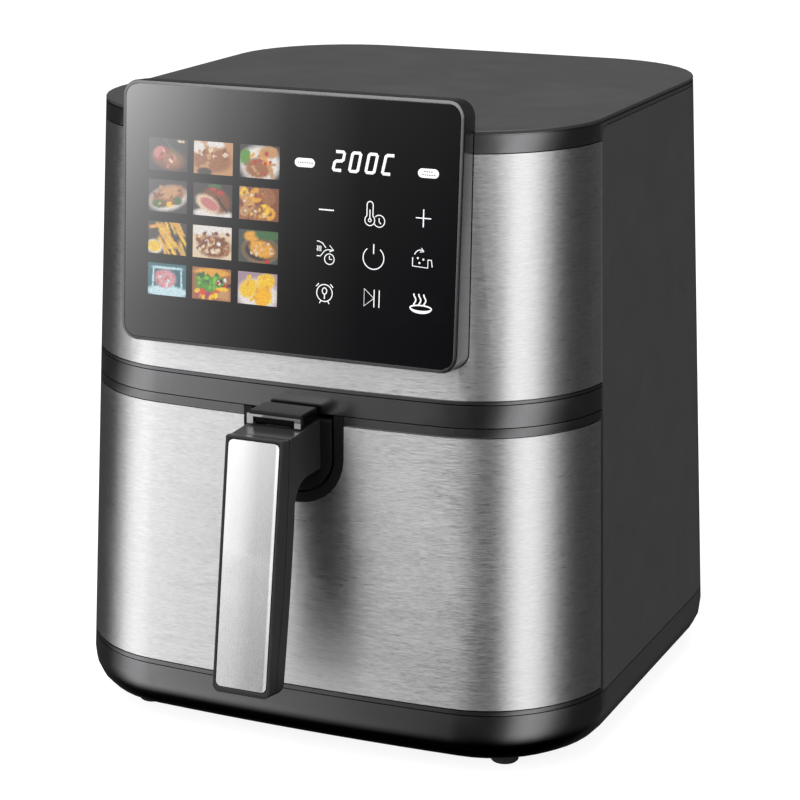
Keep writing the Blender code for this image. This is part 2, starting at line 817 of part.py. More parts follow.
def escutcheon():
    """U-shaped tray let into the drawer front. The handle's plate stands in it, open at the top."""
    front = escutcheon_front()
    back = front + ESCUTCHEON_DEPTH
    top = Z_BAND - SEAM
    bottom = Z_BAND - ESCUTCHEON_DROP
    outline = tongue(ESCUTCHEON_HALF_WIDTH, bottom, top, ESCUTCHEON_CORNER)
    tray = prism("drawer_escutcheon", outline, "XZ", front, back, black())
    half = ESCUTCHEON_HALF_WIDTH - ESCUTCHEON_WALL
    radius = ESCUTCHEON_CORNER - ESCUTCHEON_WALL
    hollow = tongue(half, bottom + ESCUTCHEON_WALL, top + 0.01, radius)
    pocket = prism("cut_pocket", hollow, "XZ", front - 0.01, back - ESCUTCHEON_FLOOR, None)
    strap_slot = box(
        "cut_strap_slot",
        (-half, front, STRAP_TOP_Z - STRAP_THICKNESS - 0.001),
        (half, back + 0.01, top + 0.01),
        None,
    )
    cut(tray, pocket, strap_slot, bolt_window("cut_tray_window"))
    return [tray]


def bolt_window(name):
    """Slot that the latch bolt passes through."""
    half = BOLT_HALF_WIDTH + RUNNING
    low = BOLT_Z - RUNNING
    high = BOLT_Z + BOLT_TAIL + RUNNING
    front = plate_front()
    return box(name, (-half, front - 0.002, low), (half, front + 0.030, high), None)


def inner_cover():
    """Insulated cover behind the drawer front: a shallow tray that opens forwards."""
    back = -PAN_FRONT - GAP
    low = LINER_Z + GAP
    high = STRAP_TOP_Z - STRAP_THICKNESS - 0.001
    half = INNER_COVER_HALF_WIDTH
    middle = (low + high) / 2
    tall = (high - low) / 2

    def ring(inset, y):
        outline = rounded_rectangle(half - inset, tall - inset, 0.012 - inset, centre=(0, middle), steps=4)
        return [Vector((x, y, z)) for x, z in outline]

    wall = INNER_COVER_WALL
    front = back - INNER_COVER_DEPTH
    rings = [ring(0, back), ring(0, front), ring(wall, front), ring(wall, back - wall)]
    return [skin("drawer_inner_cover", rings, material("heat_plastic", (0.03, 0.03, 0.03), 0.6))]


def tub(name, half, front, back, floor, rim, wall, corner, fillet, flange, lip, finish):
    """A deep pan with round corners, a filleted floor and a flange round its rim."""
    steps = 3
    middle = (back - front) / 2
    long = (back + front) / 2

    def ring(inset, z):
        radius = corner - inset
        outline = rounded_rectangle(half - inset, long - inset, radius, steps=5, centre=(0, middle))
        return [Vector((x, y, z)) for x, y in outline]

    turns = [math.pi / 2 * i / steps for i in range(steps + 1)]
    outside = [ring(fillet * (1 - math.sin(t)), floor + fillet * (1 - math.cos(t))) for t in turns]
    radius = fillet - wall
    inside = [ring(fillet - radius * math.sin(t), floor + fillet - radius * math.cos(t)) for t in reversed(turns)]
    edge = [ring(0, rim - lip), ring(-flange, rim - lip), ring(-flange, rim), ring(wall, rim)]
    return skin(name, outside + edge + inside, finish)


def drawer_pan():
    pan = tub(
        "drawer_pan", PAN_HALF_WIDTH, PAN_FRONT, PAN_BACK, PAN_Z, PAN_RIM_Z, PAN_WALL,
        PAN_CORNER, PAN_FILLET, PAN_FLANGE, PAN_WALL, coated(),
    )
    # The flange stops at the front wall, where the inner cover stands
    front = -PAN_FRONT
    reach = PAN_HALF_WIDTH + PAN_FLANGE + 0.01
    trim = box("cut_pan_flange", (-reach, front - 0.03, PAN_RIM_Z - 0.01), (reach, front - GAP / 3, PAN_RIM_Z + 0.01), None)
    return [cut(pan, trim)]


def basket_outline(inset):
    """Plan of the basket, this far inside its outer wall."""
    middle = (BASKET_BACK - BASKET_FRONT) / 2
    long = (BASKET_BACK + BASKET_FRONT) / 2
    radius = PAN_CORNER - BASKET_SIDE_GAP - inset
    return rounded_rectangle(BASKET_HALF_WIDTH - inset, long - inset, radius, steps=5, centre=(0, middle))


def basket():
    """Walls of the frying basket, which hang in the pan from the handle's strap. A ledge runs round the foot."""
    steps = 3
    wall = BASKET_WALL
    ledge = PAN_FILLET + BASKET_LEDGE
    radius = PAN_FILLET - wall
    turns = [math.pi / 2 * i / steps for i in range(steps + 1)]
    profile = [(ledge, 0.0)]
    profile += [(PAN_FILLET * (1 - math.sin(t)), PAN_FILLET * (1 - math.cos(t))) for t in turns]
    rim = BASKET_RIM_Z - BASKET_Z
    profile += [(0.0, rim - wall), (-BASKET_FLANGE, rim - wall), (-BASKET_FLANGE, rim), (wall, rim)]
    profile += [(PAN_FILLET - radius * math.sin(t), PAN_FILLET - radius * math.cos(t)) for t in reversed(turns)]
    profile += [(ledge, wall)]
    rings = [[Vector((x, y, BASKET_Z + z)) for x, y in basket_outline(inset)] for inset, z in profile]
    body = skin("basket", rings, coated(), loop=True)
    # The flange is left out where the handle's strap comes down
    reach = STRAP_HALF_WIDTH + RUNNING
    low = (-reach, -BASKET_FRONT - 2 * BASKET_FLANGE, BASKET_RIM_Z - 0.005)
    notch = box("cut_basket_flange", low, (reach, -BASKET_FRONT, BASKET_RIM_Z + 0.005), None)
    return [cut(body, notch)]


def basket_floor():
    """Slotted plate that lies on the basket's ledge."""
    low = BASKET_Z + BASKET_WALL + GAP
    high = low + BASKET_WALL
    plate = prism("basket_floor", basket_outline(PAN_FILLET), "XY", low, high, coated())
    wide, long = BASKET_SLOT
    rows = 4
    columns = 9
    limits = []
    for row in range(rows):
        for column in range(columns):
            x = (column - (columns - 1) / 2) * (BASKET_HALF_WIDTH - PAN_CORNER / 2) * 2 / (columns + 0.5)
            y = (BASKET_BACK - BASKET_FRONT) / 2 + (row - (rows - 1) / 2) * (long + 0.014)
            corner = (x - wide / 2, y - long / 2, low - 0.001)
            limits.append((corner, (x + wide / 2, y + long / 2, high + 0.001)))
    return [cut(plate, boxes("cut_basket_floor", limits))]


def handle_strap():
    """Bent steel strap from the basket's front, over the pan's rim, to the handle's plate."""
    top = STRAP_TOP_Z
    thick = STRAP_THICKNESS
    front = plate_front() + PLATE_THICKNESS + GAP
    back = -BASKET_FRONT - GAP
    outline = [
        (front, top - STRAP_LEG),
        (front + thick, top - STRAP_LEG),
        (front + thick, top - thick),
        (back - thick, top - thick),
        (back - thick, top - 1.4 * STRAP_LEG),
        (back, top - 1.4 * STRAP_LEG),
        (back, top),
        (front, top),
    ]
    strap = prism("handle_strap", outline, "YZ", -STRAP_HALF_WIDTH, STRAP_HALF_WIDTH, sheet())
    return [cut(strap, bolt_window("cut_strap_window"), *[screw_hole(side) for side in (-1, 1)])]


# ---------------------------------------------------------------- handle
def handle_place():
    """Local frame of the handle's bar: X across, Y into the bar, Z up its face from the lower end."""
    top = NECK_TOP_Z
    front = drawer_front_y(top) - HANDLE_REACH
    down = Matrix.Rotation(-HANDLE_LEAN, 4, "X") @ Vector((0, 0, -HANDLE_LENGTH))
    return Matrix.Translation(Vector((0, front, top)) + down) @ Matrix.Rotation(-HANDLE_LEAN, 4, "X")


def bar_point(depth, along):
    point = handle_place() @ Vector((0, depth, along))
    return (point.y, point.z)


def shell_depth(along):
    """Depth of the line between the handle's two shells."""
    return SHELL_THICKNESS + SHELL_BELLY * math.sin(math.pi * along / HANDLE_LENGTH)


def bar_depth(along):
    return HANDLE_THICKNESS + HANDLE_BELLY * math.sin(math.pi * along / HANDLE_LENGTH)


def bar_stops(first, last, steps):
    return [first + (last - first) * i / steps for i in range(steps + 1)]


def bar_corners(name, top_corner):
    """Block that rounds the bar's corners as seen from the front."""
    grow = GAP
    half = HANDLE_HALF_WIDTH + grow
    low = -grow
    outline = tongue(half, low, HANDLE_LENGTH + 0.02, HANDLE_LOW_CORNER)
    if top_corner:
        turns = [math.pi / 2 * i / 5 for i in range(6)]
        top = HANDLE_LENGTH + grow - top_corner
        across = half - top_corner
        right = [(across + top_corner * math.cos(t), top + top_corner * math.sin(t)) for t in turns]
        outline = right + [(-x, z) for x, z in reversed(right)] + outline[2:]
    return prism(name, outline, "XZ", -0.01, 0.08, None, handle_place())


def handle_front_shell():
    """Front shell of the bar, with a shallow pocket for the insert."""
    seam = [bar_point(shell_depth(u), u) for u in bar_stops(HANDLE_LENGTH, 0.0, 10)]
    outline = [bar_point(0, 0), bar_point(0, HANDLE_LENGTH)] + seam
    half = HANDLE_HALF_WIDTH
    shell = prism("handle_front_shell", outline, "YZ", -half, half, black())
    cut(shell, bar_corners("cut_front_corners", HANDLE_TOP_CORNER), operation="INTERSECT")
    cut(shell, insert_prism("cut_insert", HANDLE_BORDER - GAP, -0.004, INSERT_THICKNESS + GAP, None))
    return [bevel(shell, 0.0007, 2)]


def insert_prism(name, border, front, back, finish):
    low = HANDLE_FOOT_BORDER - HANDLE_BORDER + border
    high = HANDLE_LENGTH - border
    centre = (0, (high + low) / 2)
    outline = rounded_rectangle(HANDLE_HALF_WIDTH - border, (high - low) / 2, INSERT_CORNER, 4, centre)
    return prism(name, outline, "XZ", front, back, finish, handle_place())


def handle_insert():
    finish = material("polished_insert", (0.80, 0.80, 0.81), 0.18, 1.0)
    return [insert_prism("handle_insert", HANDLE_BORDER, 0.0, INSERT_THICKNESS, finish)]


def neck_end():
    return plate_front() - GAP


def button_y():
    return plate_front() - BUTTON_SETBACK + BUTTON_HALF_DEPTH


def handle_rear_shell():
    """Rear shell of the bar and the neck in one piece, hollowed for the button, spring and bolt."""
    front = [bar_point(shell_depth(u) + GAP, u) for u in bar_stops(0.0, HANDLE_LENGTH, 10)]
    low = NECK_Z - NECK_FILLET
    place = handle_place()
    share = (low - place.translation.z) / math.cos(HANDLE_LEAN)
    back = [bar_point(bar_depth(u), u) for u in bar_stops(share, HANDLE_HEEL, 8)]
    edge = back[0][0]
    turns = [math.pi / 2 * i / 6 for i in range(7)]
    heel = HANDLE_HEEL
    for turn in turns[1:]:
        depth = bar_depth(heel) - heel * (1 - math.cos(turn))
        back.append(bar_point(depth, heel * (1 - math.sin(turn))))
    fillet = [
        (edge + NECK_FILLET * (1 - math.sin(t)), NECK_Z - NECK_FILLET * (1 - math.cos(t))) for t in turns[:-1]
    ]
    outline = front + [(neck_end(), NECK_TOP_Z), (neck_end(), NECK_Z)] + fillet + back
    half = HANDLE_HALF_WIDTH
    shell = prism("handle_rear_shell", outline, "YZ", -half, half, black())
    cut(shell, bar_corners("cut_rear_corners", 0.0), operation="INTERSECT")
    bevel(shell, 0.0009, 2, angle=60)
    y = button_y()
    well_half = BUTTON_HALF_WIDTH + RUNNING
    well_deep = BUTTON_HALF_DEPTH + RUNNING
    shelf = spring_seat()
    well = box("cut_well", (-well_half, y - well_deep, shelf), (well_half, y + well_deep, NECK_TOP_Z + 0.01), None)
    reach = STEM_HALF_DEPTH + RUNNING
    across = STEM_HALF_WIDTH + RUNNING
    hole = box("cut_stem", (-across, y - reach, BOLT_Z), (across, y + reach, shelf + 0.001), None)
    channel = box(
        "cut_channel",
        (-BOLT_HALF_WIDTH - RUNNING, bolt_front() - BUTTON_TRAVEL - RUNNING, BOLT_Z - RUNNING),
        (BOLT_HALF_WIDTH + RUNNING, neck_end() + 0.01, BOLT_Z + BOLT_RAMP_HEIGHT + RUNNING),
        None,
    )
    return [cut(shell, well, hole, channel)]


def spring_seat():
    """Height of the shelf that the spring stands on."""
    return NECK_TOP_Z - BUTTON_SUNK - BUTTON_HEIGHT - SPRING_HEIGHT - 2 * GAP


def stem_knee():
    """Height where the stem bends from upright to the slope of the bolt's slot."""
    return BOLT_Z + BOLT_TAIL + BUTTON_TRAVEL + RUNNING


def ramp_y(z):
    """Y of the bolt's 45 degree ramp, which falls towards the back."""
    return button_y() - STEM_HALF_DEPTH - 2 * GAP + stem_knee() - z


def bolt_front():
    return ramp_y(BOLT_Z + BOLT_RAMP_HEIGHT) - BOLT_NOSE


def handle_plate():
    """Plate on the end of the neck, which stands in the escutcheon."""
    half = ESCUTCHEON_HALF_WIDTH - ESCUTCHEON_WALL - PLATE_CLEARANCE
    radius = ESCUTCHEON_CORNER - ESCUTCHEON_WALL - PLATE_CLEARANCE
    bottom = Z_BAND - ESCUTCHEON_DROP + ESCUTCHEON_WALL + PLATE_CLEARANCE
    outline = tongue(half, bottom, NECK_TOP_Z, radius)
    front = plate_front()
    plate = prism("handle_plate", outline, "XZ", front, front + PLATE_THICKNESS, black())
    bevel(plate, 0.0007, 2)
    holes = [screw_hole(side) for side in (-1, 1)]
    return [cut(plate, bolt_window("cut_plate_window"), *holes)]


def screw_place(side):
    back = plate_front() + PLATE_THICKNESS + GAP + STRAP_THICKNESS + GAP
    return Vector((side * 0.0105, back, STRAP_TOP_Z - 0.0075))


def screw_hole(side):
    shank = SCREW_RADIUS / 2 + GAP
    profile = [(0, -0.0056), (shank, -0.0056), (shank, 0.004), (0, 0.004)]
    return turned(f"cut_screw_{side}", profile, screw_place(side), None, axis="Y", steps=12)


def handle_screws():
    """Screws from behind, through the strap into the plate."""
    made = []
    for name, side in (("left", -1), ("right", 1)):
        profile = [
            (0, -0.0048),
            (SCREW_RADIUS / 2, -0.0048),
            (SCREW_RADIUS / 2, 0),
            (SCREW_RADIUS * 0.72, 0),
            (SCREW_RADIUS * 0.72, SCREW_HEAD * 0.7),
            (SCREW_RADIUS * 0.5, SCREW_HEAD),
            (0, SCREW_HEAD),
        ]
        place = screw_place(side)
        made.append(turned(f"handle_screw_{name}", profile, place, sheet(), axis="Y", steps=12))
    return made


def release_button():
    """Button cap on a stem whose sloping foot draws the bolt forwards and pushes it back."""
    y = button_y()
    top = NECK_TOP_Z - BUTTON_SUNK
    cap = box(
        "release_button",
        (-BUTTON_HALF_WIDTH, y - BUTTON_HALF_DEPTH, top - BUTTON_HEIGHT),
        (BUTTON_HALF_WIDTH, y + BUTTON_HALF_DEPTH, top),
        material("button_grey", (0.10, 0.10, 0.105), 0.35),
    )
    bevel(cap, 0.0005, 2)
    low = BOLT_Z + BOLT_BASE + BUTTON_TRAVEL + GAP
    knee = stem_knee()
    front = ramp_y(low) + 2 * GAP
    deep = 2 * STEM_HALF_DEPTH
    high = top - BUTTON_HEIGHT / 2
    outline = [
        (front, low),
        (front + deep, low),
        (y + STEM_HALF_DEPTH, knee),
        (y + STEM_HALF_DEPTH, high),
        (y - STEM_HALF_DEPTH, high),
        (y - STEM_HALF_DEPTH, knee),
    ]
    stem = prism("add_stem", outline, "YZ", -STEM_HALF_WIDTH, STEM_HALF_WIDTH, None)
    return [cut(cap, stem, operation="UNION")]


def button_spring():
    """Coil spring round the stem, between its shelf and the button."""
    low = spring_seat() + GAP + SPRING_WIRE
    high = NECK_TOP_Z - BUTTON_SUNK - BUTTON_HEIGHT - GAP - SPRING_WIRE
    steps = SPRING_TURNS * 12
    points = []
    for i in range(steps + 1):
        angle = 2 * math.pi * i / 12
        x = SPRING_RADIUS * math.cos(angle)
        y = button_y() + SPRING_RADIUS * math.sin(angle)
        points.append((x, y, low + (high - low) * i / steps))
    return [wire("button_spring", points, SPRING_WIRE, sheet(), resolution=0)]


def latch_bolt():
    """Bolt with a sloping slot for the stem, and a tail through the plate, strap and escutcheon."""
    front = bolt_front()
    top = BOLT_Z + BOLT_RAMP_HEIGHT
    base = BOLT_Z + BOLT_BASE
    slot = 2 * STEM_HALF_DEPTH + 4 * GAP
    tail = escutcheon_front() + ESCUTCHEON_DEPTH + RUNNING
    tail_top = BOLT_Z + BOLT_TAIL
    outline = [
        (front, BOLT_Z),
        (tail, BOLT_Z),
        (tail, tail_top),
        (ramp_y(tail_top) + slot, tail_top),
        (ramp_y(base) + slot, base),
        (ramp_y(base), base),
        (ramp_y(top), top),
        (front, top),
    ]
    finish = material("bolt_plastic", (0.35, 0.35, 0.36), 0.5)
    return [prism("latch_bolt", outline, "YZ", -BOLT_HALF_WIDTH, BOLT_HALF_WIDTH, finish)]


def button_cover():
    """Cover that slides forwards off the button, with a bright trim round its front."""
    back = drawer_front_y(Z_BAND) - 0.0022
    front = back - COVER_DEPTH
    low = NECK_TOP_Z + GAP
    high = low + COVER_HEIGHT
    half = COVER_HALF_WIDTH
    cover = bevel(box("button_cover", (-half, front, low), (half, back, high), black()), 0.0014, 3)
    leg = half - TRIM_LEG
    top = high - TRIM_DROP
    bar = top - TRIM_THICKNESS
    outline = [
        (-half, low), (-leg, low), (-leg, bar), (leg, bar),
        (leg, low), (half, low), (half, top), (-half, top),
    ]
    trim = prism("cover_trim", outline, "XZ", front - GAP - TRIM_THICKNESS, front - GAP, chrome())
    return [cover, trim]


# ---------------------------------------------------------------- cooking chamber
def chamber_outline(inset, reach):
    """Plan of the chamber: square at its mouth and round at the back."""
    half = LINER_HALF_WIDTH - inset
    points = tongue(half, inset - LINER_BACK, LINER_FRONT + reach, LINER_CORNER - inset, steps=5)
    return [(x, -y) for x, y in points]


def chamber_liner(probe_hole):
    """Sheet-metal chamber, open at the front, with a round opening in its ceiling."""
    wall = LINER_WALL
    liner = prism("chamber_liner", chamber_outline(0.0, 0.0), "XY", LINER_Z, CEILING_Z, sheet())
    inside = chamber_outline(wall, 0.01)
    hollow = prism("cut_chamber", inside, "XY", LINER_Z + wall, CEILING_Z - wall, None)
    low = CEILING_Z - 0.01
    high = CEILING_Z + 0.01
    disc = [(0, low), (DOME_RADIUS, low), (DOME_RADIUS, high), (0, high)]
    ceiling = turned("cut_ceiling", disc, (0, FAN_Y, 0), None, steps=40)
    return [cut(liner, hollow, ceiling, probe_hole)]


def heat_reflector(holes):
    """Dome over the heater and fan, flanged on to the chamber's ceiling."""
    low = CEILING_Z + GAP
    outer = DOME_RADIUS
    bore = SHAFT_RADIUS + 0.002
    shoulder = 0.008
    profile = [
        (outer - DOME_WALL, low),
        (outer + DOME_FLANGE, low),
        (outer + DOME_FLANGE, low + DOME_WALL),
        (outer, low + DOME_WALL),
        (outer, DOME_TOP_Z - shoulder),
        (outer - shoulder, DOME_TOP_Z),
        (bore, DOME_TOP_Z),
        (bore, DOME_TOP_Z - DOME_WALL),
        (outer - shoulder - DOME_WALL / 2, DOME_TOP_Z - DOME_WALL),
        (outer - DOME_WALL, DOME_TOP_Z - shoulder - DOME_WALL / 2),
    ]
    return [cut(turned("heat_reflector", profile, (0, FAN_Y, 0), sheet(), steps=40), *holes)]


def heater_guard():
    """Slotted disc under the heater, level with the ceiling."""
    radius = DOME_RADIUS - RUNNING
    low = CEILING_Z - GUARD_THICKNESS
    profile = [(0, low), (radius, low), (radius, CEILING_Z), (0, CEILING_Z)]
    guard = turned("heater_guard", profile, (0, FAN_Y, 0), sheet(), steps=40)
    pitch = 2 * (radius - 0.012) / GUARD_SLOTS
    limits = []
    for i in range(GUARD_SLOTS):
        x = (i - (GUARD_SLOTS - 1) / 2) * pitch
        reach = math.sqrt(radius**2 - (abs(x) + GUARD_SLOT) ** 2) - 0.008
        for low_y, high_y in ((-reach, -0.004), (0.004, reach)):
            low_corner = (x - GUARD_SLOT / 2, FAN_Y + low_y, low - 0.01)
            limits.append((low_corner, (x + GUARD_SLOT / 2, FAN_Y + high_y, CEILING_Z + 0.01)))
    return [cut(guard, boxes("cut_guard", limits))]


def coil_points():
    """Up from the chamber: down one terminal, round the outer ring, back round the inner one."""
    start = (2 * math.pi - COIL_SWEEP) / 2
    top = DOME_TOP_Z + TERMINAL_HEIGHT
    inner = COIL_RADIUS - COIL_SPACING
    bend = COIL_SPACING / 2
    spots = [(COIL_RADIUS, start, top), (COIL_RADIUS, start, COIL_Z + bend)]
    spots.append((COIL_RADIUS, start + 0.03, COIL_Z + bend * 0.3))
    steps = 26
    for i in range(steps + 1):
        spots.append((COIL_RADIUS, start + 0.12 + (COIL_SWEEP - 0.24) * i / steps, COIL_Z))
    end = start + COIL_SWEEP - 0.12
    middle = (COIL_RADIUS + inner) / 2
    for i in range(1, 6):
        turn = math.pi * i / 6
        spots.append((middle + bend * math.cos(turn), end + bend * math.sin(turn) / middle, COIL_Z))
    for i in range(steps + 1):
        spots.append((inner, end - (COIL_SWEEP - 0.24) * i / steps, COIL_Z))
    spots.append((inner, start + 0.03, COIL_Z + bend * 0.3))
    spots.append((inner, start, COIL_Z + bend))
    spots.append((inner, start, top))
    back = math.pi / 2
    return [(r * math.cos(a + back), FAN_Y + r * math.sin(a + back), z) for r, a, z in spots]


def heater_coil():
    finish = material("heater_sheath", (0.16, 0.15, 0.14), 0.5, 1.0)
    return [wire("heater_coil", coil_points(), COIL_TUBE, finish, resolution=1)]


def terminal_holes():
    radius = COIL_TUBE + 0.001
    made = []
    for name, point in (("outer", coil_points()[0]), ("inner", coil_points()[-1])):
        low = DOME_TOP_Z - 0.006
        profile = [(0, low), (radius, low), (radius, DOME_TOP_Z + 0.004), (0, DOME_TOP_Z + 0.004)]
        made.append(turned(f"cut_terminal_{name}", profile, (point[0], point[1], 0), None, steps=12))
    return made


def guide_rails():
    """Rails on the chamber's sides that carry the pan's flange."""
    made = []
    top = PAN_RIM_Z - PAN_WALL - GAP - 0.0001
    outer = LINER_HALF_WIDTH - LINER_WALL - GAP
    front = -LINER_FRONT + 0.005
    for name, side in (("left", -1), ("right", 1)):
        near, far = sorted((side * outer, side * (outer - RAIL_WIDTH)))
        low = (near, front, top - RAIL_HEIGHT)
        straight = LINER_BACK - LINER_CORNER - 0.002
        rail = box(f"guide_rail_{name}", low, (far, min(front + RAIL_LENGTH, straight), top), sheet())
        made.append(bevel(rail, 0.0012, 2))
    return made


# ---------------------------------------------------------------- fan and motor
def bladed_disc(name, radius, hub, blades, height, z, finish, lean):
    """Annular disc whose narrow sectors are drawn up into blades."""
    bore = SHAFT_RADIUS + GAP
    narrow = math.radians(3.2)
    pitch = 2 * math.pi / blades
    angles = []
    for blade in range(blades):
        start = blade * pitch
        angles += [start, start + narrow, start + narrow + (pitch - narrow) / 2]
    radii = (bore, hub, radius * 0.97, radius)
    shape = bmesh.new()
    top = [[shape.verts.new((r * math.cos(a), FAN_Y + r * math.sin(a), z + FAN_DISC)) for a in angles] for r in radii]
    low = [[shape.verts.new((r * math.cos(a), FAN_Y + r * math.sin(a), z)) for a in angles] for r in radii]
    count = len(angles)
    raised = []
    for ring in range(len(radii) - 1):
        for i in range(count):
            j = (i + 1) % count
            face = shape.faces.new((top[ring][i], top[ring + 1][i], top[ring + 1][j], top[ring][j]))
            shape.faces.new((low[ring][j], low[ring + 1][j], low[ring + 1][i], low[ring][i]))
            if ring == 1 and i % 3 == 0:
                raised.append(face)
    for i in range(count):
        j = (i + 1) % count
        shape.faces.new((top[0][i], top[0][j], low[0][j], low[0][i]))
        shape.faces.new((low[-1][i], low[-1][j], top[-1][j], top[-1][i]))
    grown = bmesh.ops.extrude_discrete_faces(shape, faces=raised)["faces"]
    for face in grown:
        for corner in face.verts:
            around = Matrix.Rotation(lean, 4, "Z") @ (corner.co - Vector((0, FAN_Y, 0)))
            corner.co = around + Vector((0, FAN_Y, height))
    bmesh.ops.recalc_face_normals(shape, faces=shape.faces)
    mesh = bpy.data.meshes.new(name)
    shape.to_mesh(mesh)
    shape.free()
    return link(name, mesh, finish, smooth=False)


def rotor():
    """Shaft through the motor with the hot-air fan below and the cooling fan above."""
    profile = [(0, SHAFT_BOTTOM_Z), (SHAFT_RADIUS, SHAFT_BOTTOM_Z), (SHAFT_RADIUS, SHAFT_TOP_Z), (0, SHAFT_TOP_Z)]
    shaft = turned("motor_shaft", profile, (0, FAN_Y, 0), sheet(), steps=16)
    hot = bladed_disc("convection_fan", FAN_RADIUS, 0.014, FAN_BLADES, FAN_BLADE_HEIGHT, FAN_Z, sheet(), 0.0)
    cool = bladed_disc(
        "cooling_fan", COOLING_RADIUS, 0.012, COOLING_BLADES, COOLING_BLADE_HEIGHT, COOLING_Z,
        material("fan_plastic", (0.30, 0.30, 0.31), 0.5), 0.12,
    )
    outer = SHAFT_NUT_RADIUS
    bore = SHAFT_RADIUS + GAP
    high = FAN_Z - GAP
    low = SHAFT_BOTTOM_Z - 0.0045
    floor = SHAFT_BOTTOM_Z - GAP
    cap = [(0, low), (outer * 0.7, low), (outer, low + 0.002), (outer, high), (bore, high), (bore, floor), (0, floor)]
    nut = turned("fan_nut", cap, (0, FAN_Y, 0), sheet(), steps=12)
    return [shaft, hot, cool, nut]


def motor():
    bore = SHAFT_RADIUS + GAP
    top = MOTOR_Z + MOTOR_HEIGHT
    profile = [
        (bore, MOTOR_Z),
        (MOTOR_RADIUS - 0.003, MOTOR_Z),
        (MOTOR_RADIUS, MOTOR_Z + 0.003),
        (MOTOR_RADIUS, top - 0.003),
        (MOTOR_RADIUS - 0.003, top),
        (bore, top),
    ]
    body = turned("fan_motor", profile, (0, FAN_Y, 0), sheet(), steps=28)
    low = DOME_TOP_Z + GAP
    flat = low + BRACKET_STEP
    thick = BRACKET_THICKNESS
    half = BRACKET_HALF_LENGTH
    foot = 0.012
    outline = [
        (-half, low), (-half + foot, low), (-half + foot, flat), (half - foot, flat),
        (half - foot, low), (half, low), (half, low + thick), (half - foot + thick, low + thick),
        (half - foot + thick, flat + thick - GAP), (-half + foot - thick, flat + thick - GAP),
        (-half + foot - thick, low + thick), (-half, low + thick),
    ]
    y = BRACKET_HALF_WIDTH
    bracket = prism("motor_bracket", outline, "XZ", FAN_Y - y, FAN_Y + y, sheet())
    radius = SHAFT_RADIUS + 0.002
    disc = [(0, low - 0.001), (radius, low - 0.001), (radius, flat + 0.01), (0, flat + 0.01)]
    cut(bracket, turned("cut_bracket", disc, (0, FAN_Y, 0), None, steps=16))
    return [body, bracket]


# ---------------------------------------------------------------- electrical and rear pieces
def vent_place():
    """Local frame of the rear vent: X across, Y out through the back, Z up the wall."""
    low = Z_UPPER + VENT_LIFT
    lean = math.atan(BACK_TAPER)
    return Matrix.Translation((0, back_edge(low), low)) @ Matrix.Rotation(lean, 4, "X")


def rear_vent():
    """Grille in the back wall, and the cutter for its opening."""
    place = vent_place()
    half = VENT_HALF_WIDTH
    high = VENT_HEIGHT
    outline = rounded_rectangle(half, high / 2, 0.005, 3, (0, high / 2))
    grille = prism("rear_vent_grille", outline, "XZ", -CASE_WALL, 0.0006, black(), place)
    pitch = high / (VENT_SLOTS + 1)
    limits = []
    for i in range(VENT_SLOTS):
        z = pitch * (i + 1)
        for side in (-1, 1):
            near, far = sorted((side * 0.002, side * VENT_SLOT_HALF))
            limits.append(((near, -0.02, z - VENT_SLOT / 2), (far, 0.02, z + VENT_SLOT / 2)))
    slots = boxes("cut_vent_slots", limits)
    slots.matrix_world = place
    grow = rounded_rectangle(half + GAP, high / 2 + GAP, 0.005 + GAP, 3, (0, high / 2))
    opening = prism("cut_vent", grow, "XZ", -0.02, 0.02, None, place)
    return [cut(grille, slots)], opening


def gland_place():
    z = Z_DRAWER + GLAND_LIFT
    return Vector((-GLAND_X, back_edge(z), z))


def cord_gland():
    """Gland that the mains lead leaves through, and the cutter for its hole."""
    place = gland_place()
    inside = -CASE_WALL - 0.006
    profile = [
        (GLAND_BORE, inside),
        (GLAND_BARREL, inside),
        (GLAND_BARREL, GAP * 2),
        (GLAND_RADIUS, GAP * 2),
        (GLAND_RADIUS, GLAND_STAND - 0.001),
        (GLAND_RADIUS - 0.001, GLAND_STAND),
        (GLAND_BORE, GLAND_STAND),
    ]
    gland = turned("cord_gland", profile, place, rubber(), axis="Y", steps=20)
    radius = GLAND_BARREL + GAP
    hole = turned("cut_gland", [(0, -0.02), (radius, -0.02), (radius, 0.01), (0, 0.01)], place, None, "Y", 20)
    return [gland], hole


def control_board():
    """Power board on the right, with a relay, a transformer and a capacitor on it."""
    long, tall = CONTROL_BOARD
    z = Z_UPPER + 0.030
    x = half_width(z + tall) - CONTROL_BOARD_SETBACK
    y = FAN_Y - long / 2
    thick = BOARD_THICKNESS
    green = material("board_green", (0.02, 0.12, 0.05), 0.5)
    board = box("control_board", (x, y, z), (x + thick, y + long, z + tall), green)
    parts = boxes(
        "add_components",
        [
            ((x - 0.004, y + 0.010, z + 0.012), (x + thick / 2, y + 0.032, z + 0.030)),
            ((x - 0.004, y + 0.042, z + 0.034), (x + thick / 2, y + 0.064, z + 0.056)),
            ((x - 0.004, y + 0.072, z + 0.010), (x + thick / 2, y + 0.084, z + 0.040)),
        ],
    )
    return [cut(board, parts, operation="UNION")]


def thermal_cutout():
    place = (-0.052, FAN_Y + 0.045, DOME_TOP_Z + GAP)
    profile = [(0, 0), (0.0085, 0), (0.0085, 0.0035), (0.0065, 0.0035), (0.0065, 0.0085), (0, 0.0085)]
    return [turned("thermal_cutout", profile, place, material("ceramic", (0.75, 0.73, 0.68), 0.6), steps=16)]


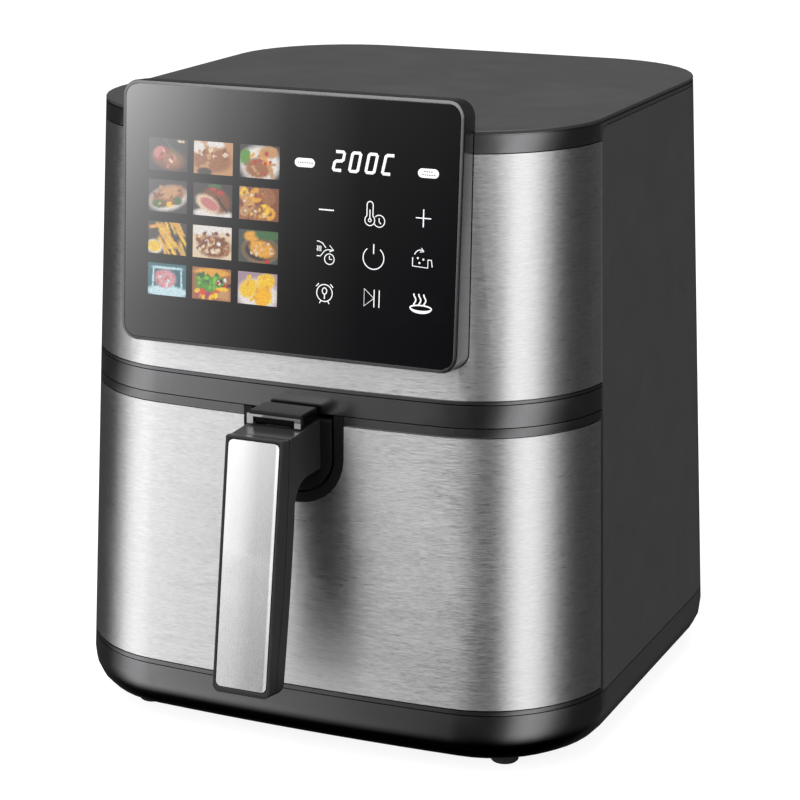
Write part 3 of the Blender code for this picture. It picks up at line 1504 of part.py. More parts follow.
def temperature_probe():
    """Thin probe through the chamber's left wall above the basket, and the cutter for its hole."""
    place = (-LINER_HALF_WIDTH - 0.008, FAN_Y + 0.060, Z_BAND - 0.0035)
    profile = [
        (0, 0), (0.0034, 0), (0.0034, 0.0075), (0.0018, 0.0075), (0.0018, 0.0172), (0.0010, 0.0185), (0, 0.0185),
    ]
    probe = turned("temperature_probe", profile, place, sheet(), axis="X", steps=12)
    hole = turned("cut_probe", [(0, 0.004), (0.0024, 0.004), (0.0024, 0.014), (0, 0.014)], place, None, "X", 12)
    return [probe], hole


def drawer_sensor():
    """Sensor beside the chamber's mouth and the magnet in the drawer that it reads."""
    z = Z_DRAWER + 0.115
    x = LINER_HALF_WIDTH + 0.0008
    y = -LINER_FRONT + 0.0020
    sensor = box("drawer_sensor", (x, y, z), (x + 0.005, y + 0.011, z + 0.012), black())
    bevel(sensor, 0.0006, 1)
    wall = INNER_COVER_WALL
    right = INNER_COVER_HALF_WIDTH - wall - GAP
    back = -PAN_FRONT - GAP - wall - GAP
    metal = material("magnet_nickel", (0.6, 0.6, 0.6), 0.3, 1.0)
    magnet = box("sensor_magnet", (right - 0.008, back - 0.004, z), (right, back, z + 0.010), metal)
    return [sensor], [bevel(magnet, 0.0005, 1)]


# ---------------------------------------------------------------- assembly
def attach(children, parent):
    """Parent pieces to an empty without moving them."""
    bpy.context.view_layer.update()
    for child in children:
        child.parent = parent
        child.matrix_parent_inverse = parent.matrix_world.inverted()


def footprint_centre():
    """Y of the middle of the footprint, between the handle's foot and the gland."""
    front = bar_point(0, 0)[0]
    back = gland_place().y + GLAND_STAND
    return (front + back) / 2


def build():
    clear_scene()
    recess = display_cutter("cut_display_recess", DISPLAY_THICKNESS + GAP)
    opening = display_cutter("cut_display_opening", DISPLAY_THICKNESS + 0.030)
    grille, vent = rear_vent()
    gland, gland_hole = cord_gland()
    probe, probe_hole = temperature_probe()
    sensor, magnet = drawer_sensor()

    housing = base_tray() + feet_and_screws() + outer_shell(vent, gland_hole)
    housing += top_frame(recess) + top_cover(recess) + upper_front(opening) + mid_band() + display()
    housing += chamber_liner(probe_hole) + heat_reflector(terminal_holes()) + heater_guard() + heater_coil()
    housing += guide_rails() + motor() + grille + gland + probe + sensor + control_board() + thermal_cutout()
    drawer = drawer_front() + escutcheon() + inner_cover() + drawer_pan() + magnet
    drawer += basket() + basket_floor() + handle_strap() + handle_plate() + handle_rear_shell() + handle_front_shell() + handle_insert()
    drawer += handle_screws() + button_spring()

    root = empty("air_fryer", (0, 0, 0))
    slide = empty("drawer_slide", (0, -PAN_FRONT, PAN_RIM_Z), root)
    press = empty("button_press", (0, button_y(), NECK_TOP_Z), slide)
    bolt = empty("latch_slide", (0, bolt_front(), BOLT_Z), slide)
    cover = empty("cover_slide", (0, neck_end(), NECK_TOP_Z), slide)
    spin = empty("fan_spin", (0, FAN_Y, MOTOR_Z), root)
    for empty_made in (press, bolt, cover):
        empty_made.location -= slide.location
    attach(housing, root)
    attach(drawer, slide)
    attach(release_button(), press)
    attach(latch_bolt(), bolt)
    attach(button_cover(), cover)
    attach(rotor(), spin)
    cutters = [item for item in bpy.data.objects if item.type == "MESH" and item.display_type == "WIRE"]
    attach(cutters, root)
    root.location.y = -footprint_centre()
    bpy.context.view_layer.update()


build()
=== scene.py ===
# %% [markdown]
# # A counter-top air fryer
# The mechanical model is loaded first and stays as it is: every panel, the pan, the basket, the
# fan and the handle are its own pieces. This script gives each of them a smooth skin and a
# finish, draws the symbols of the display, and sets up the light and the camera. Everything is
# in metres.

import json
import math
import random

import bmesh
import bpy
from mathutils import Matrix, Vector
from mathutils import noise as field

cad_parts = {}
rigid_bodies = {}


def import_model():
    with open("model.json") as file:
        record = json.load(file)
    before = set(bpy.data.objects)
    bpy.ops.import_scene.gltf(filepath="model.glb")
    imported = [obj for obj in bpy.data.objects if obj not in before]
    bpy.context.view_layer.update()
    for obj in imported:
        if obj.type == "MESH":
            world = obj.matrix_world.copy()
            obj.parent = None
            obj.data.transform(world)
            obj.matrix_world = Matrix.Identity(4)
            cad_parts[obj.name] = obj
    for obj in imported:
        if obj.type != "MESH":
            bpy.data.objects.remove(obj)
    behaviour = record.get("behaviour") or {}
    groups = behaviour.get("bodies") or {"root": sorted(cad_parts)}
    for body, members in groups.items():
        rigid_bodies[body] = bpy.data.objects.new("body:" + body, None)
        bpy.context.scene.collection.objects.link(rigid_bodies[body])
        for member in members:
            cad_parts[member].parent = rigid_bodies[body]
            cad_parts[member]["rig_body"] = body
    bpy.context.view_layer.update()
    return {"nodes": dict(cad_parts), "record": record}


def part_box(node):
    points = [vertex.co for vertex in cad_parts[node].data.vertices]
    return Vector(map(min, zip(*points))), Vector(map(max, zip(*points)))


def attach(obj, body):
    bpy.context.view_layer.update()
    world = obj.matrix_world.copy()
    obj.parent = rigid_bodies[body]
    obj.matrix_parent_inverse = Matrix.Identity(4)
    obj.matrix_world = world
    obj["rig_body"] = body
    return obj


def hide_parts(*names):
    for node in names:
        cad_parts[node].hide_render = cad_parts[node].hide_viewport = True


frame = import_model()
nodes = frame["nodes"]

# %% [markdown]
# ## Places taken from the model
# Later pieces are placed from the boxes of the model's own pieces, so they follow the model if
# it changes. The base tray gives the middle of the casing. The display leans back, so its frame
# is found from the glass: the box of a leaning plate gives its lower front edge and its lean.

# %% Middle of the casing, and the frame of the display
base_low, base_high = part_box("base_tray")
casing_y = (base_low.y + base_high.y) / 2
glass_low, glass_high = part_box("display_glass")
glass_points = [vertex.co.copy() for vertex in nodes["display_glass"].data.vertices]
lowest = min(glass_points, key=lambda point: point.y)
highest = max(glass_points, key=lambda point: point.z)
glass_lean = math.atan2(highest.y - lowest.y, highest.z - lowest.z)
glass_tall = math.hypot(highest.y - lowest.y, highest.z - lowest.z)
glass_half = (glass_high.x - glass_low.x) / 2
glass_place = Matrix.Translation((0, lowest.y, lowest.z)) @ Matrix.Rotation(-glass_lean, 4, "X")
print("middle of the casing, y in mm", round(1000 * casing_y, 1))
print("glass leans, in degrees", round(math.degrees(glass_lean), 2))
print("glass is tall, in mm", round(1000 * glass_tall, 1))

# %% [markdown]
# ## The camera
# The fryer is seen from a little above and from the right, with a long lens, as in a catalogue
# picture. The camera looks along a line given by an azimuth and an elevation round a target
# inside the casing.

# %% Camera
AZIMUTH = math.radians(23.72)
ELEVATION = math.radians(15.62)
CAMERA_DISTANCE = 1.4067
TARGET = Vector((-0.0151, casing_y + 0.0274, 0.1449))
SENSOR_WIDTH = 36.0
FOCAL_LENGTH = 111.35
NEAREST, FARTHEST = 0.05, 60.0

camera_data = bpy.data.cameras.new("camera")
camera_data.sensor_width = SENSOR_WIDTH
camera_data.lens = FOCAL_LENGTH
camera_data.clip_start = NEAREST
camera_data.clip_end = FARTHEST
camera = bpy.data.objects.new("camera", camera_data)
bpy.context.scene.collection.objects.link(camera)
across = math.cos(ELEVATION)
sight = Vector((math.sin(AZIMUTH) * across, -math.cos(AZIMUTH) * across, math.sin(ELEVATION)))
camera.location = TARGET + CAMERA_DISTANCE * sight
camera.rotation_mode = "QUATERNION"
camera.rotation_quaternion = (-sight).to_track_quat("-Z", "Y")
bpy.context.scene.camera = camera
bpy.context.scene.view_settings.view_transform = "Standard"
print("camera at", [round(value, 3) for value in camera.location])


# %% [markdown]
# ## Shader nodes in few words
# Every finish below is a small tree of nodes. These helpers add a node, join two sockets, do a
# sum, or read a ramp of greys, so that each finish can be read from top to bottom.

# %% Helpers for shader nodes
def new_node(tree, kind, **values):
    """Add a node and set its properties."""
    made = tree.nodes.new(kind)
    for key, value in values.items():
        setattr(made, key, value)
    return made


def join(tree, source, target):
    """Link an output to an input."""
    tree.links.new(source, target)


def feed(tree, socket, value):
    """Put a number, a colour or another socket into a socket."""
    if isinstance(value, bpy.types.NodeSocket):
        join(tree, value, socket)
    elif isinstance(value, tuple) and len(value) == 3 and socket.type == "RGBA":
        socket.default_value = (*value, 1.0)
    else:
        socket.default_value = value


def math_node(tree, operation, *values, clamp=False):
    """A Math node whose inputs are numbers or sockets."""
    made = new_node(tree, "ShaderNodeMath", operation=operation, use_clamp=clamp)
    for socket, value in zip(made.inputs, values):
        feed(tree, socket, value)
    return made.outputs[0]


def span(tree, value, low, high, first=0.0, last=1.0, smooth=True):
    """Map a value from one span to another, held at both ends."""
    kind = "SMOOTHSTEP" if smooth else "LINEAR"
    made = new_node(tree, "ShaderNodeMapRange", interpolation_type=kind)
    titles = ("Value", "From Min", "From Max", "To Min", "To Max")
    for title, number in zip(titles, (value, low, high, first, last)):
        feed(tree, made.inputs[title], number)
    return made.outputs[0]


def blend(tree, share, first, second, mode="MIX"):
    """Mix two colours."""
    made = new_node(tree, "ShaderNodeMix", data_type="RGBA", blend_type=mode)
    feed(tree, made.inputs[0], share)
    feed(tree, made.inputs[6], first)
    feed(tree, made.inputs[7], second)
    return made.outputs[2]


def noise(tree, vector, scale, detail=2.0, roughness=0.5):
    """Soft noise between 0 and 1."""
    made = new_node(tree, "ShaderNodeTexNoise")
    feed(tree, made.inputs["Vector"], vector)
    feed(tree, made.inputs["Scale"], scale)
    feed(tree, made.inputs["Detail"], detail)
    feed(tree, made.inputs["Roughness"], roughness)
    return made.outputs[0]


def place_of(tree):
    """The place on the piece, in the object's own coordinates."""
    return new_node(tree, "ShaderNodeTexCoord").outputs["Object"]


def axes_of(tree, vector):
    """The three numbers of a vector."""
    made = new_node(tree, "ShaderNodeSeparateXYZ")
    join(tree, vector, made.inputs[0])
    return made.outputs


def grey_ramp(tree, share, levels, blue=1.0):
    """A ramp of greys, from pairs of a position and a level. Blue above 1 makes it cooler."""
    ramp = new_node(tree, "ShaderNodeValToRGB")
    stops = ramp.color_ramp.elements
    while len(stops) < len(levels):
        stops.new(0.5)
    for stop, (position, level) in zip(stops, levels):
        stop.position = position
        stop.color = (level, level, level * blue, 1.0)
    join(tree, share, ramp.inputs[0])
    return ramp.outputs[0]


# %% [markdown]
# ## The studio
# Steel and gloss plastic show their surroundings, so the light is a ring of soft panels: a
# bright one at the front left, a brighter one ahead that starts above the horizon, a narrower
# one at the right, and dark cloth between them and behind. The ring is painted into the world by
# direction. The brushed steel blurs it upright and takes in the panels overhead, while the
# plastic bands mirror only the horizon, where the panel ahead has faded out.

# %% World: panels of light by direction
LIGHT_RING = (
    (-180, 0.075),
    (-150, 0.10),
    (-132, 0.052),
    (-104, 0.075),
    (-88, 0.22),
    (-76, 1.30),
    (-62, 1.78),
    (-40, 1.84),
    (-33, 1.95),
    (-27, 2.15),
    (-18, 2.30),
    (-2, 2.20),
    (8, 1.35),
    (20, 0.38),
    (31, 0.30),
    (42, 0.80),
    (52, 1.65),
    (66, 1.80),
    (78, 1.40),
    (86, 0.70),
    (94, 0.25),
    (106, 0.085),
    (118, 0.055),
    (130, 0.065),
    (145, 0.16),
    (160, 0.10),
    (180, 0.075),
)
HORIZON_RING = (
    (-180, 0.05),
    (-132, 0.05),
    (-95, 0.06),
    (-80, 0.45),
    (-66, 1.30),
    (-48, 1.45),
    (-36, 0.90),
    (-24, 0.30),
    (-12, 0.10),
    (0, 0.05),
    (14, 0.04),
    (26, 0.05),
    (38, 0.20),
    (48, 1.00),
    (60, 1.35),
    (72, 1.00),
    (86, 0.25),
    (100, 0.05),
    (140, 0.05),
    (155, 0.12),
    (180, 0.05),
)
LIGHT_SCALE = 2.4
HORIZON_FADE = (-0.12, 0.10)
FLOOR_FADE = (-0.90, -0.50)
FLOOR_LIGHT = 0.03


def painted_ring(tree, share, levels):
    """A ramp of light round the compass, from pairs of an angle in degrees and a strength."""
    return grey_ramp(tree, share, [(angle / 360 + 0.5, value / LIGHT_SCALE) for angle, value in levels])


world = bpy.data.worlds.new("studio")
bpy.context.scene.world = world
world.use_nodes = True
tree = world.node_tree
tree.nodes.clear()
direction = axes_of(tree, new_node(tree, "ShaderNodeTexCoord").outputs["Generated"])
turn = math_node(tree, "ARCTAN2", direction[0], math_node(tree, "MULTIPLY", direction[1], -1.0))
share = math_node(tree, "MULTIPLY_ADD", turn, 1 / (2 * math.pi), 0.5)
overhead = painted_ring(tree, share, LIGHT_RING)
horizon = painted_ring(tree, share, HORIZON_RING)
raised = span(tree, direction[2], *HORIZON_FADE)
ring = blend(tree, raised, horizon, overhead)
below = span(tree, direction[2], *FLOOR_FADE, FLOOR_LIGHT, 1.0)
strength = math_node(tree, "MULTIPLY", below, LIGHT_SCALE)
lit = new_node(tree, "ShaderNodeBackground")
join(tree, ring, lit.inputs[0])
join(tree, strength, lit.inputs[1])
seen = new_node(tree, "ShaderNodeBackground")
seen.inputs[0].default_value = (1.0, 1.0, 1.0, 1.0)
path = new_node(tree, "ShaderNodeLightPath")
mix = new_node(tree, "ShaderNodeMixShader")
join(tree, path.outputs["Is Camera Ray"], mix.inputs[0])
join(tree, lit.outputs[0], mix.inputs[1])
join(tree, seen.outputs[0], mix.inputs[2])
join(tree, mix.outputs[0], new_node(tree, "ShaderNodeOutputWorld").inputs[0])
print("light rings of", len(LIGHT_RING), "and", len(HORIZON_RING), "stops")


# %% [markdown]
# ## The lamp
# One wide soft lamp hangs above and a little behind the middle of the casing and lights the lid.
# The painted ring can't do this, because it changes round the compass and not with height, once
# it is above the horizon.

# %% Lamp above the lid
LAMP_PLACE = Vector((0.0, casing_y + 0.1, 1.7))
LAMP_AIM = Vector((0.0, casing_y, 0.3))
LAMP_SIZE = 1.4
LAMP_POWER = 22.0

lamp_data = bpy.data.lights.new("lamp_above", "AREA")
lamp_data.shape = "RECTANGLE"
lamp_data.size = LAMP_SIZE
lamp_data.size_y = LAMP_SIZE
lamp_data.energy = LAMP_POWER
lamp = bpy.data.objects.new("lamp_above", lamp_data)
bpy.context.scene.collection.objects.link(lamp)
lamp.location = LAMP_PLACE
lamp.rotation_mode = "QUATERNION"
lamp.rotation_quaternion = (LAMP_AIM - LAMP_PLACE).to_track_quat("-Z", "Y")
print("lamp of", LAMP_POWER, "W")

# %% [markdown]
# ## The floor
# A plain pale sheet. It is kept out of reflections, so the steel shows only the soft panels. It
# glows a little as well, so that only a faint shadow is left round the feet.

# %% Floor
FLOOR_SIZE = 16.0
FLOOR_GREY = 0.30
FLOOR_GLOW = 0.88
bpy.ops.object.select_all(action="DESELECT")
bpy.ops.mesh.primitive_plane_add(size=1.0, location=(0, 0, 0))
floor = bpy.context.active_object
floor.name = "floor"
floor.scale = (FLOOR_SIZE, FLOOR_SIZE, 1.0)
bpy.ops.object.transform_apply(location=True, rotation=True, scale=True)
floor.visible_glossy = False
floor.visible_diffuse = False
floor_finish = bpy.data.materials.new("floor_white")
floor_finish.use_nodes = True
shader = floor_finish.node_tree.nodes["Principled BSDF"]
shader.inputs["Base Color"].default_value = (FLOOR_GREY, FLOOR_GREY, FLOOR_GREY, 1.0)
shader.inputs["Roughness"].default_value = 0.9
shader.inputs["Emission Color"].default_value = (1.0, 1.0, 1.0, 1.0)
shader.inputs["Emission Strength"].default_value = FLOOR_GLOW
floor.data.materials.append(floor_finish)
print("floor laid")


# %% [markdown]
# ## Effects that several finishes share
# Four node groups. Grain draws the fine scratches of brushing as streaks that are long on one
# axis. Mould texture is the very fine spark of a moulded or painted surface. Handling puts faint
# cloudy marks where fingers and cloths have been. Edge wear finds convex edges by the angle
# between the true normal and a rounded one, and gives a mask that lightens them.

# %% Node groups
def new_group(name, inputs, outputs):
    """An empty shader group with named number or vector sockets."""
    group = bpy.data.node_groups.new(name, "ShaderNodeTree")
    for title, kind, value in inputs:
        socket = group.interface.new_socket(title, in_out="INPUT", socket_type=kind)
        if value is not None:
            socket.default_value = value
    for title, kind in outputs:
        group.interface.new_socket(title, in_out="OUTPUT", socket_type=kind)
    start = group.nodes.new("NodeGroupInput")
    end = group.nodes.new("NodeGroupOutput")
    return group, start.outputs, end.inputs


FLOAT = "NodeSocketFloat"
VECTOR = "NodeSocketVector"

grain, given, result = new_group(
    "brushing",
    [("Vector", VECTOR, None), ("Length", FLOAT, 60.0), ("Width", FLOAT, 1500.0), ("Turned", FLOAT, 0.0)],
    [("Streaks", FLOAT), ("Broad", FLOAT)],
)
grain_place = axes_of(grain, given["Vector"])


def laid_out(tree, place, factors):
    """A place with each axis multiplied by its own factor."""
    made = new_node(tree, "ShaderNodeCombineXYZ")
    for socket, value, factor in zip(made.inputs, place, factors):
        join(tree, math_node(tree, "MULTIPLY", value, factor), socket)
    return made.outputs[0]


for output, factor, detail in (("Streaks", 1.0, 3.0), ("Broad", 0.28, 1.5)):
    long = math_node(grain, "MULTIPLY", given["Length"], factor)
    wide = math_node(grain, "MULTIPLY", given["Width"], factor)
    choice = new_node(grain, "ShaderNodeMix", data_type="VECTOR")
    join(grain, given["Turned"], choice.inputs[0])
    join(grain, laid_out(grain, grain_place, (long, long, wide)), choice.inputs[4])
    join(grain, laid_out(grain, grain_place, (wide, wide, long)), choice.inputs[5])
    join(grain, noise(grain, choice.outputs[1], 1.0, detail, 0.6), result[output])

mould, given, result = new_group(
    "mould_texture",
    [("Vector", VECTOR, None), ("Scale", FLOAT, 2600.0)],
    [("Height", FLOAT), ("Cloud", FLOAT)],
)
join(mould, noise(mould, given["Vector"], given["Scale"], 2.0), result["Height"])
join(mould, noise(mould, given["Vector"], 42.0, 3.0), result["Cloud"])

handling, given, result = new_group(
    "handling",
    [("Vector", VECTOR, None), ("Size", FLOAT, 26.0), ("Amount", FLOAT, 0.5)],
    [("Mask", FLOAT)],
)
cloud = noise(handling, given["Vector"], given["Size"], 4.0, 0.62)
patch = span(handling, cloud, 0.48, 0.72)
join(handling, math_node(handling, "MULTIPLY", patch, given["Amount"]), result["Mask"])

edge_wear, given, result = new_group(
    "edge_wear",
    [("Vector", VECTOR, None), ("Radius", FLOAT, 0.0006), ("Amount", FLOAT, 0.5)],
    [("Mask", FLOAT)],
)
rounded = new_node(edge_wear, "ShaderNodeBevel", samples=4)
join(edge_wear, given["Radius"], rounded.inputs["Radius"])
true_normal = new_node(edge_wear, "ShaderNodeNewGeometry")
close = new_node(edge_wear, "ShaderNodeVectorMath", operation="DOT_PRODUCT")
join(edge_wear, rounded.outputs[0], close.inputs[0])
join(edge_wear, true_normal.outputs["Normal"], close.inputs[1])
turned_away = span(edge_wear, close.outputs["Value"], 0.985, 0.90)
worn = span(edge_wear, noise(edge_wear, given["Vector"], 180.0, 3.0), 0.40, 0.62)
rubbed = math_node(edge_wear, "MULTIPLY", turned_away, worn)
join(edge_wear, math_node(edge_wear, "MULTIPLY", rubbed, given["Amount"]), result["Mask"])
print("groups", [group.name for group in bpy.data.node_groups])


# %% [markdown]
# ## One recipe for all plastics
# The plastics of the fryer differ in colour and gloss, but each has the same spark, the same
# marks and the same wear. So one function makes them all, from a few numbers for each.

# %% Helpers for finishes
SPARK_DEPTH = 0.00006


def finish(name, roughness, metallic=0.0):
    """A material with a Principled shader, and its tree, shader and place coordinates."""
    made = bpy.data.materials.new(name)
    made.use_nodes = True
    tree = made.node_tree
    shader = tree.nodes["Principled BSDF"]
    shader.inputs["Roughness"].default_value = roughness
    shader.inputs["Metallic"].default_value = metallic
    return made, tree, shader, place_of(tree)


def use(tree, group, vector, **values):
    """Place a shared group and return its outputs."""
    made = new_node(tree, "ShaderNodeGroup", node_tree=group)
    feed(tree, made.inputs["Vector"], vector)
    for name, value in values.items():
        feed(tree, made.inputs[name], value)
    return made.outputs


def bump(tree, shader, height, strength, distance):
    """Tilt the surface by a height."""
    made = new_node(tree, "ShaderNodeBump")
    made.inputs["Strength"].default_value = strength
    made.inputs["Distance"].default_value = distance
    join(tree, height, made.inputs["Height"])
    join(tree, made.outputs[0], shader.inputs["Normal"])


def plastic(name, colour, roughness, spark=0.05, scale=2600.0, wear=0.10, specular=0.5, marks=0.10):
    """A moulded plastic: a fine spark, cloudy handling marks and slightly worn edges."""
    made, tree, shader, place = finish(name, roughness)
    shader.inputs["Specular IOR Level"].default_value = specular
    texture = use(tree, mould, place, Scale=scale)
    touched = use(tree, handling, place, Amount=1.0)["Mask"]
    edge = use(tree, edge_wear, place, Amount=wear)["Mask"]
    lighter = tuple(min(channel * 1.18 + 0.002, 1.0) for channel in colour)
    darker = tuple(channel * 0.88 for channel in colour)
    rubbed = tuple(min(0.10 + channel * 2.2, 1.0) for channel in colour)
    mottled = blend(tree, texture["Cloud"], darker, lighter)
    join(tree, blend(tree, edge, mottled, rubbed), shader.inputs["Base Color"])
    varied = math_node(tree, "MULTIPLY_ADD", touched, marks, roughness - marks * 0.3)
    join(tree, math_node(tree, "MULTIPLY_ADD", edge, 0.1, varied), shader.inputs["Roughness"])
    bump(tree, shader, texture["Height"], spark, SPARK_DEPTH)
    return made


# %% [markdown]
# ## Brushed steel
# The two front panels are stainless steel brushed from side to side. The brushing spreads a
# reflection up and down, which an anisotropic shader does. The streaks themselves come from
# noise stretched sideways: they tint the colour a little, change the roughness, and tilt the
# surface by a hair so that the edges of reflections look combed.

# %% Brushed steel
STEEL_ROUGHNESS = 0.32
QUARTER_TURN = 0.25
STREAK_DEPTH = 0.00008


def brushed(name, colour, roughness, length, width, blur, depth=0.10, turned=0.0, contrast=0.11):
    """Metal with streaks along one direction, which blur a reflection across them."""
    made, tree, shader, place = finish(name, roughness, 1.0)
    shader.inputs["Anisotropic"].default_value = blur
    shader.inputs["Anisotropic Rotation"].default_value = QUARTER_TURN * (1.0 - turned)
    streaks = use(tree, grain, place, Length=length, Width=width, Turned=turned)
    fine = span(tree, streaks["Streaks"], 0.30, 0.70)
    broad = span(tree, streaks["Broad"], 0.34, 0.66)
    both = math_node(tree, "MULTIPLY_ADD", broad, 0.22, math_node(tree, "MULTIPLY", fine, 0.78))
    touched = use(tree, handling, place, Size=18.0, Amount=0.05)["Mask"]
    dark = tuple(channel * (1 - contrast) for channel in colour)
    light = tuple(min(channel * (1 + contrast), 1.0) for channel in colour)
    join(tree, blend(tree, both, dark, light), shader.inputs["Base Color"])
    rough = math_node(tree, "MULTIPLY_ADD", both, 0.10, roughness - 0.05)
    join(tree, math_node(tree, "ADD", rough, touched), shader.inputs["Roughness"])
    bump(tree, shader, both, depth, STREAK_DEPTH)
    return made


steel = brushed("brushed_steel", (0.67, 0.67, 0.675), STEEL_ROUGHNESS, 230.0, 2300.0, 0.76, 0.36)
sheet_metal = brushed("plated_sheet", (0.52, 0.52, 0.51), 0.40, 160.0, 2200.0, 0.2)
print("metals", steel.name, sheet_metal.name)

# %% [markdown]
# ## The bright insert of the handle
# The insert is polished, with hair lines that run along the handle. It carries a painted
# reflection that fades from bright at its left edge to grey at its right, and ends in a painted
# highlight, a thin bright line. A card held close to it would give such a fade. The ring of light
# is far away, so a flat face mirrors only one tone of it, and the painted reflection is a ramp
# across the insert instead, multiplied into its colour.

# %% Polished insert
INSERT_PAINTED_REFLECTION = ((0.0, 1.0), (0.30, 0.90), (0.62, 0.66), (0.93, 0.60), (0.955, 1.0), (1.0, 1.0))
insert_metal = brushed("polished_insert", (0.86, 0.86, 0.87), 0.24, 130.0, 5200.0, 0.3, 0.02, 1.0, 0.02)
tree = insert_metal.node_tree
shader = tree.nodes["Principled BSDF"]
insert_low, insert_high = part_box("handle_insert")
rightward = span(tree, axes_of(tree, place_of(tree))[0], insert_low.x, insert_high.x, smooth=False)
# Painted reflection and painted highlight: a ramp of greys multiplied into the insert's colour.
painted_insert_reflection = grey_ramp(tree, rightward, INSERT_PAINTED_REFLECTION)
plain = shader.inputs["Base Color"].links[0].from_socket
join(tree, blend(tree, 1.0, plain, painted_insert_reflection, "MULTIPLY"), shader.inputs["Base Color"])
print("insert", insert_metal.name)

# %% [markdown]
# ## Casing plastics
# The sides, the back and the lid are satin charcoal with a spark finish. The sides and the back
# take a lighter copy of it as painted light, and the lid a darker copy as painted shade. The bands
# across the front and the base tray are glossier, with a thin metallic lacquer. The base tray's
# rounded underside gets painted shade: its colour falls to black below the bend.

# %% Charcoal and black plastics
# Painted light and painted shade: one charcoal, lighter on the sides and back, darker on the lid.
charcoal_painted_lighter = plastic("charcoal_satin_painted_lighter", (0.066, 0.066, 0.068), 0.46, spark=0.10, wear=0.06, specular=0.40)
lid_painted_darker = plastic("lid_satin_painted_darker", (0.044, 0.044, 0.046), 0.46, spark=0.08, wear=0.06, specular=0.35)


def lacquer(name, colour, roughness, painted_shade_heights=None):
    """Dark metallic lacquer with fine flakes. Given two heights, painted shade turns it black below a bend.
    """
    made, tree, shader, place = finish(name, roughness, 1.0)
    texture = use(tree, mould, place, Scale=5200.0)
    flake = span(tree, texture["Height"], 0.35, 0.68)
    touched = use(tree, handling, place, Amount=0.05)["Mask"]
    edge = use(tree, edge_wear, place, Amount=0.35)["Mask"]
    darker = tuple(channel * 0.82 for channel in colour)
    lighter = tuple(channel * 1.16 for channel in colour)
    tone = blend(tree, edge, blend(tree, flake, darker, lighter), (0.30, 0.30, 0.31))
    if painted_shade_heights:
        # Painted shade: the colour falls to black between the two heights.
        tone = blend(tree, span(tree, axes_of(tree, place)[2], *painted_shade_heights), (0.004, 0.004, 0.004), tone)
    join(tree, tone, shader.inputs["Base Color"])
    join(tree, math_node(tree, "ADD", touched, roughness), shader.inputs["Roughness"])
    bump(tree, shader, texture["Height"], 0.04, 0.00004)
    return made


band_finish = lacquer("band_lacquer", (0.215, 0.215, 0.220), 0.20)
# Heights of the painted shade under the bend of the base tray.
BASE_PAINTED_SHADE = (0.0175, 0.0230)
base_finish = lacquer("base_lacquer_painted_shade", (0.200, 0.200, 0.205), 0.22, BASE_PAINTED_SHADE)
lip_finish = lacquer("lip_lacquer", (0.190, 0.190, 0.195), 0.22)
rim_finish = lacquer("display_rim_lacquer", (0.150, 0.150, 0.154), 0.24)
cover_finish = plastic("cover_black", (0.004, 0.004, 0.004), 0.16, spark=0.02, wear=0.10, specular=0.12)
black = plastic("gloss_black", (0.010, 0.010, 0.011), 0.22, spark=0.03, wear=0.18, specular=0.24)
grip = plastic("grip_black", (0.026, 0.026, 0.027), 0.34, spark=0.06, wear=0.25, specular=0.16, marks=0.14)
heat_plastic = plastic("heat_plastic", (0.030, 0.030, 0.030), 0.58, spark=0.16, wear=0.05)
button_finish = plastic("button_grey", (0.095, 0.095, 0.100), 0.35, wear=0.2)
acetal = plastic("bolt_plastic", (0.34, 0.34, 0.35), 0.45, wear=0.1)
fan_plastic = plastic("fan_plastic", (0.29, 0.29, 0.30), 0.50, wear=0.1)
ceramic = plastic("ceramic", (0.72, 0.70, 0.65), 0.60, spark=0.2, wear=0.0)
rubber = plastic(
    "foot_rubber", (0.018, 0.018, 0.018), 0.82, spark=0.30, scale=1500.0, wear=0.05, specular=0.3
)
print("plastics", charcoal_painted_lighter.name, black.name, grip.name)

# %% [markdown]
# ## Other finishes
# The pan and the basket have a sprayed non-stick coating with fine pale specks. The heater's
# sheath is darkened by heat. The boards are green with copper tracks under the lacquer.

# %% Coating, heater, boards, chrome and magnets
coating, tree, shader, place = finish("nonstick_coating", 0.40)
speckle = new_node(tree, "ShaderNodeTexVoronoi")
feed(tree, speckle.inputs["Vector"], place)
speckle.inputs["Scale"].default_value = 900.0
speck = span(tree, speckle.outputs["Distance"], 0.20, 0.08)
texture = use(tree, mould, place, Scale=1800.0)
shade = blend(tree, texture["Cloud"], (0.020, 0.020, 0.021), (0.042, 0.042, 0.044))
edge = use(tree, edge_wear, place, Amount=0.30)["Mask"]
shade = blend(tree, math_node(tree, "MULTIPLY", speck, 0.35), shade, (0.20, 0.20, 0.20))
join(tree, blend(tree, edge, shade, (0.22, 0.21, 0.20)), shader.inputs["Base Color"])
join(tree, span(tree, texture["Cloud"], 0.3, 0.7, 0.34, 0.46), shader.inputs["Roughness"])
bump(tree, shader, texture["Height"], 0.18, 0.00008)

heater, tree, shader, place = finish("heater_sheath", 0.55, 0.8)
texture = use(tree, mould, place, Scale=900.0)
tint = blend(tree, span(tree, texture["Cloud"], 0.35, 0.65), (0.10, 0.085, 0.075), (0.22, 0.20, 0.19))
join(tree, tint, shader.inputs["Base Color"])
bump(tree, shader, texture["Height"], 0.25, 0.0001)

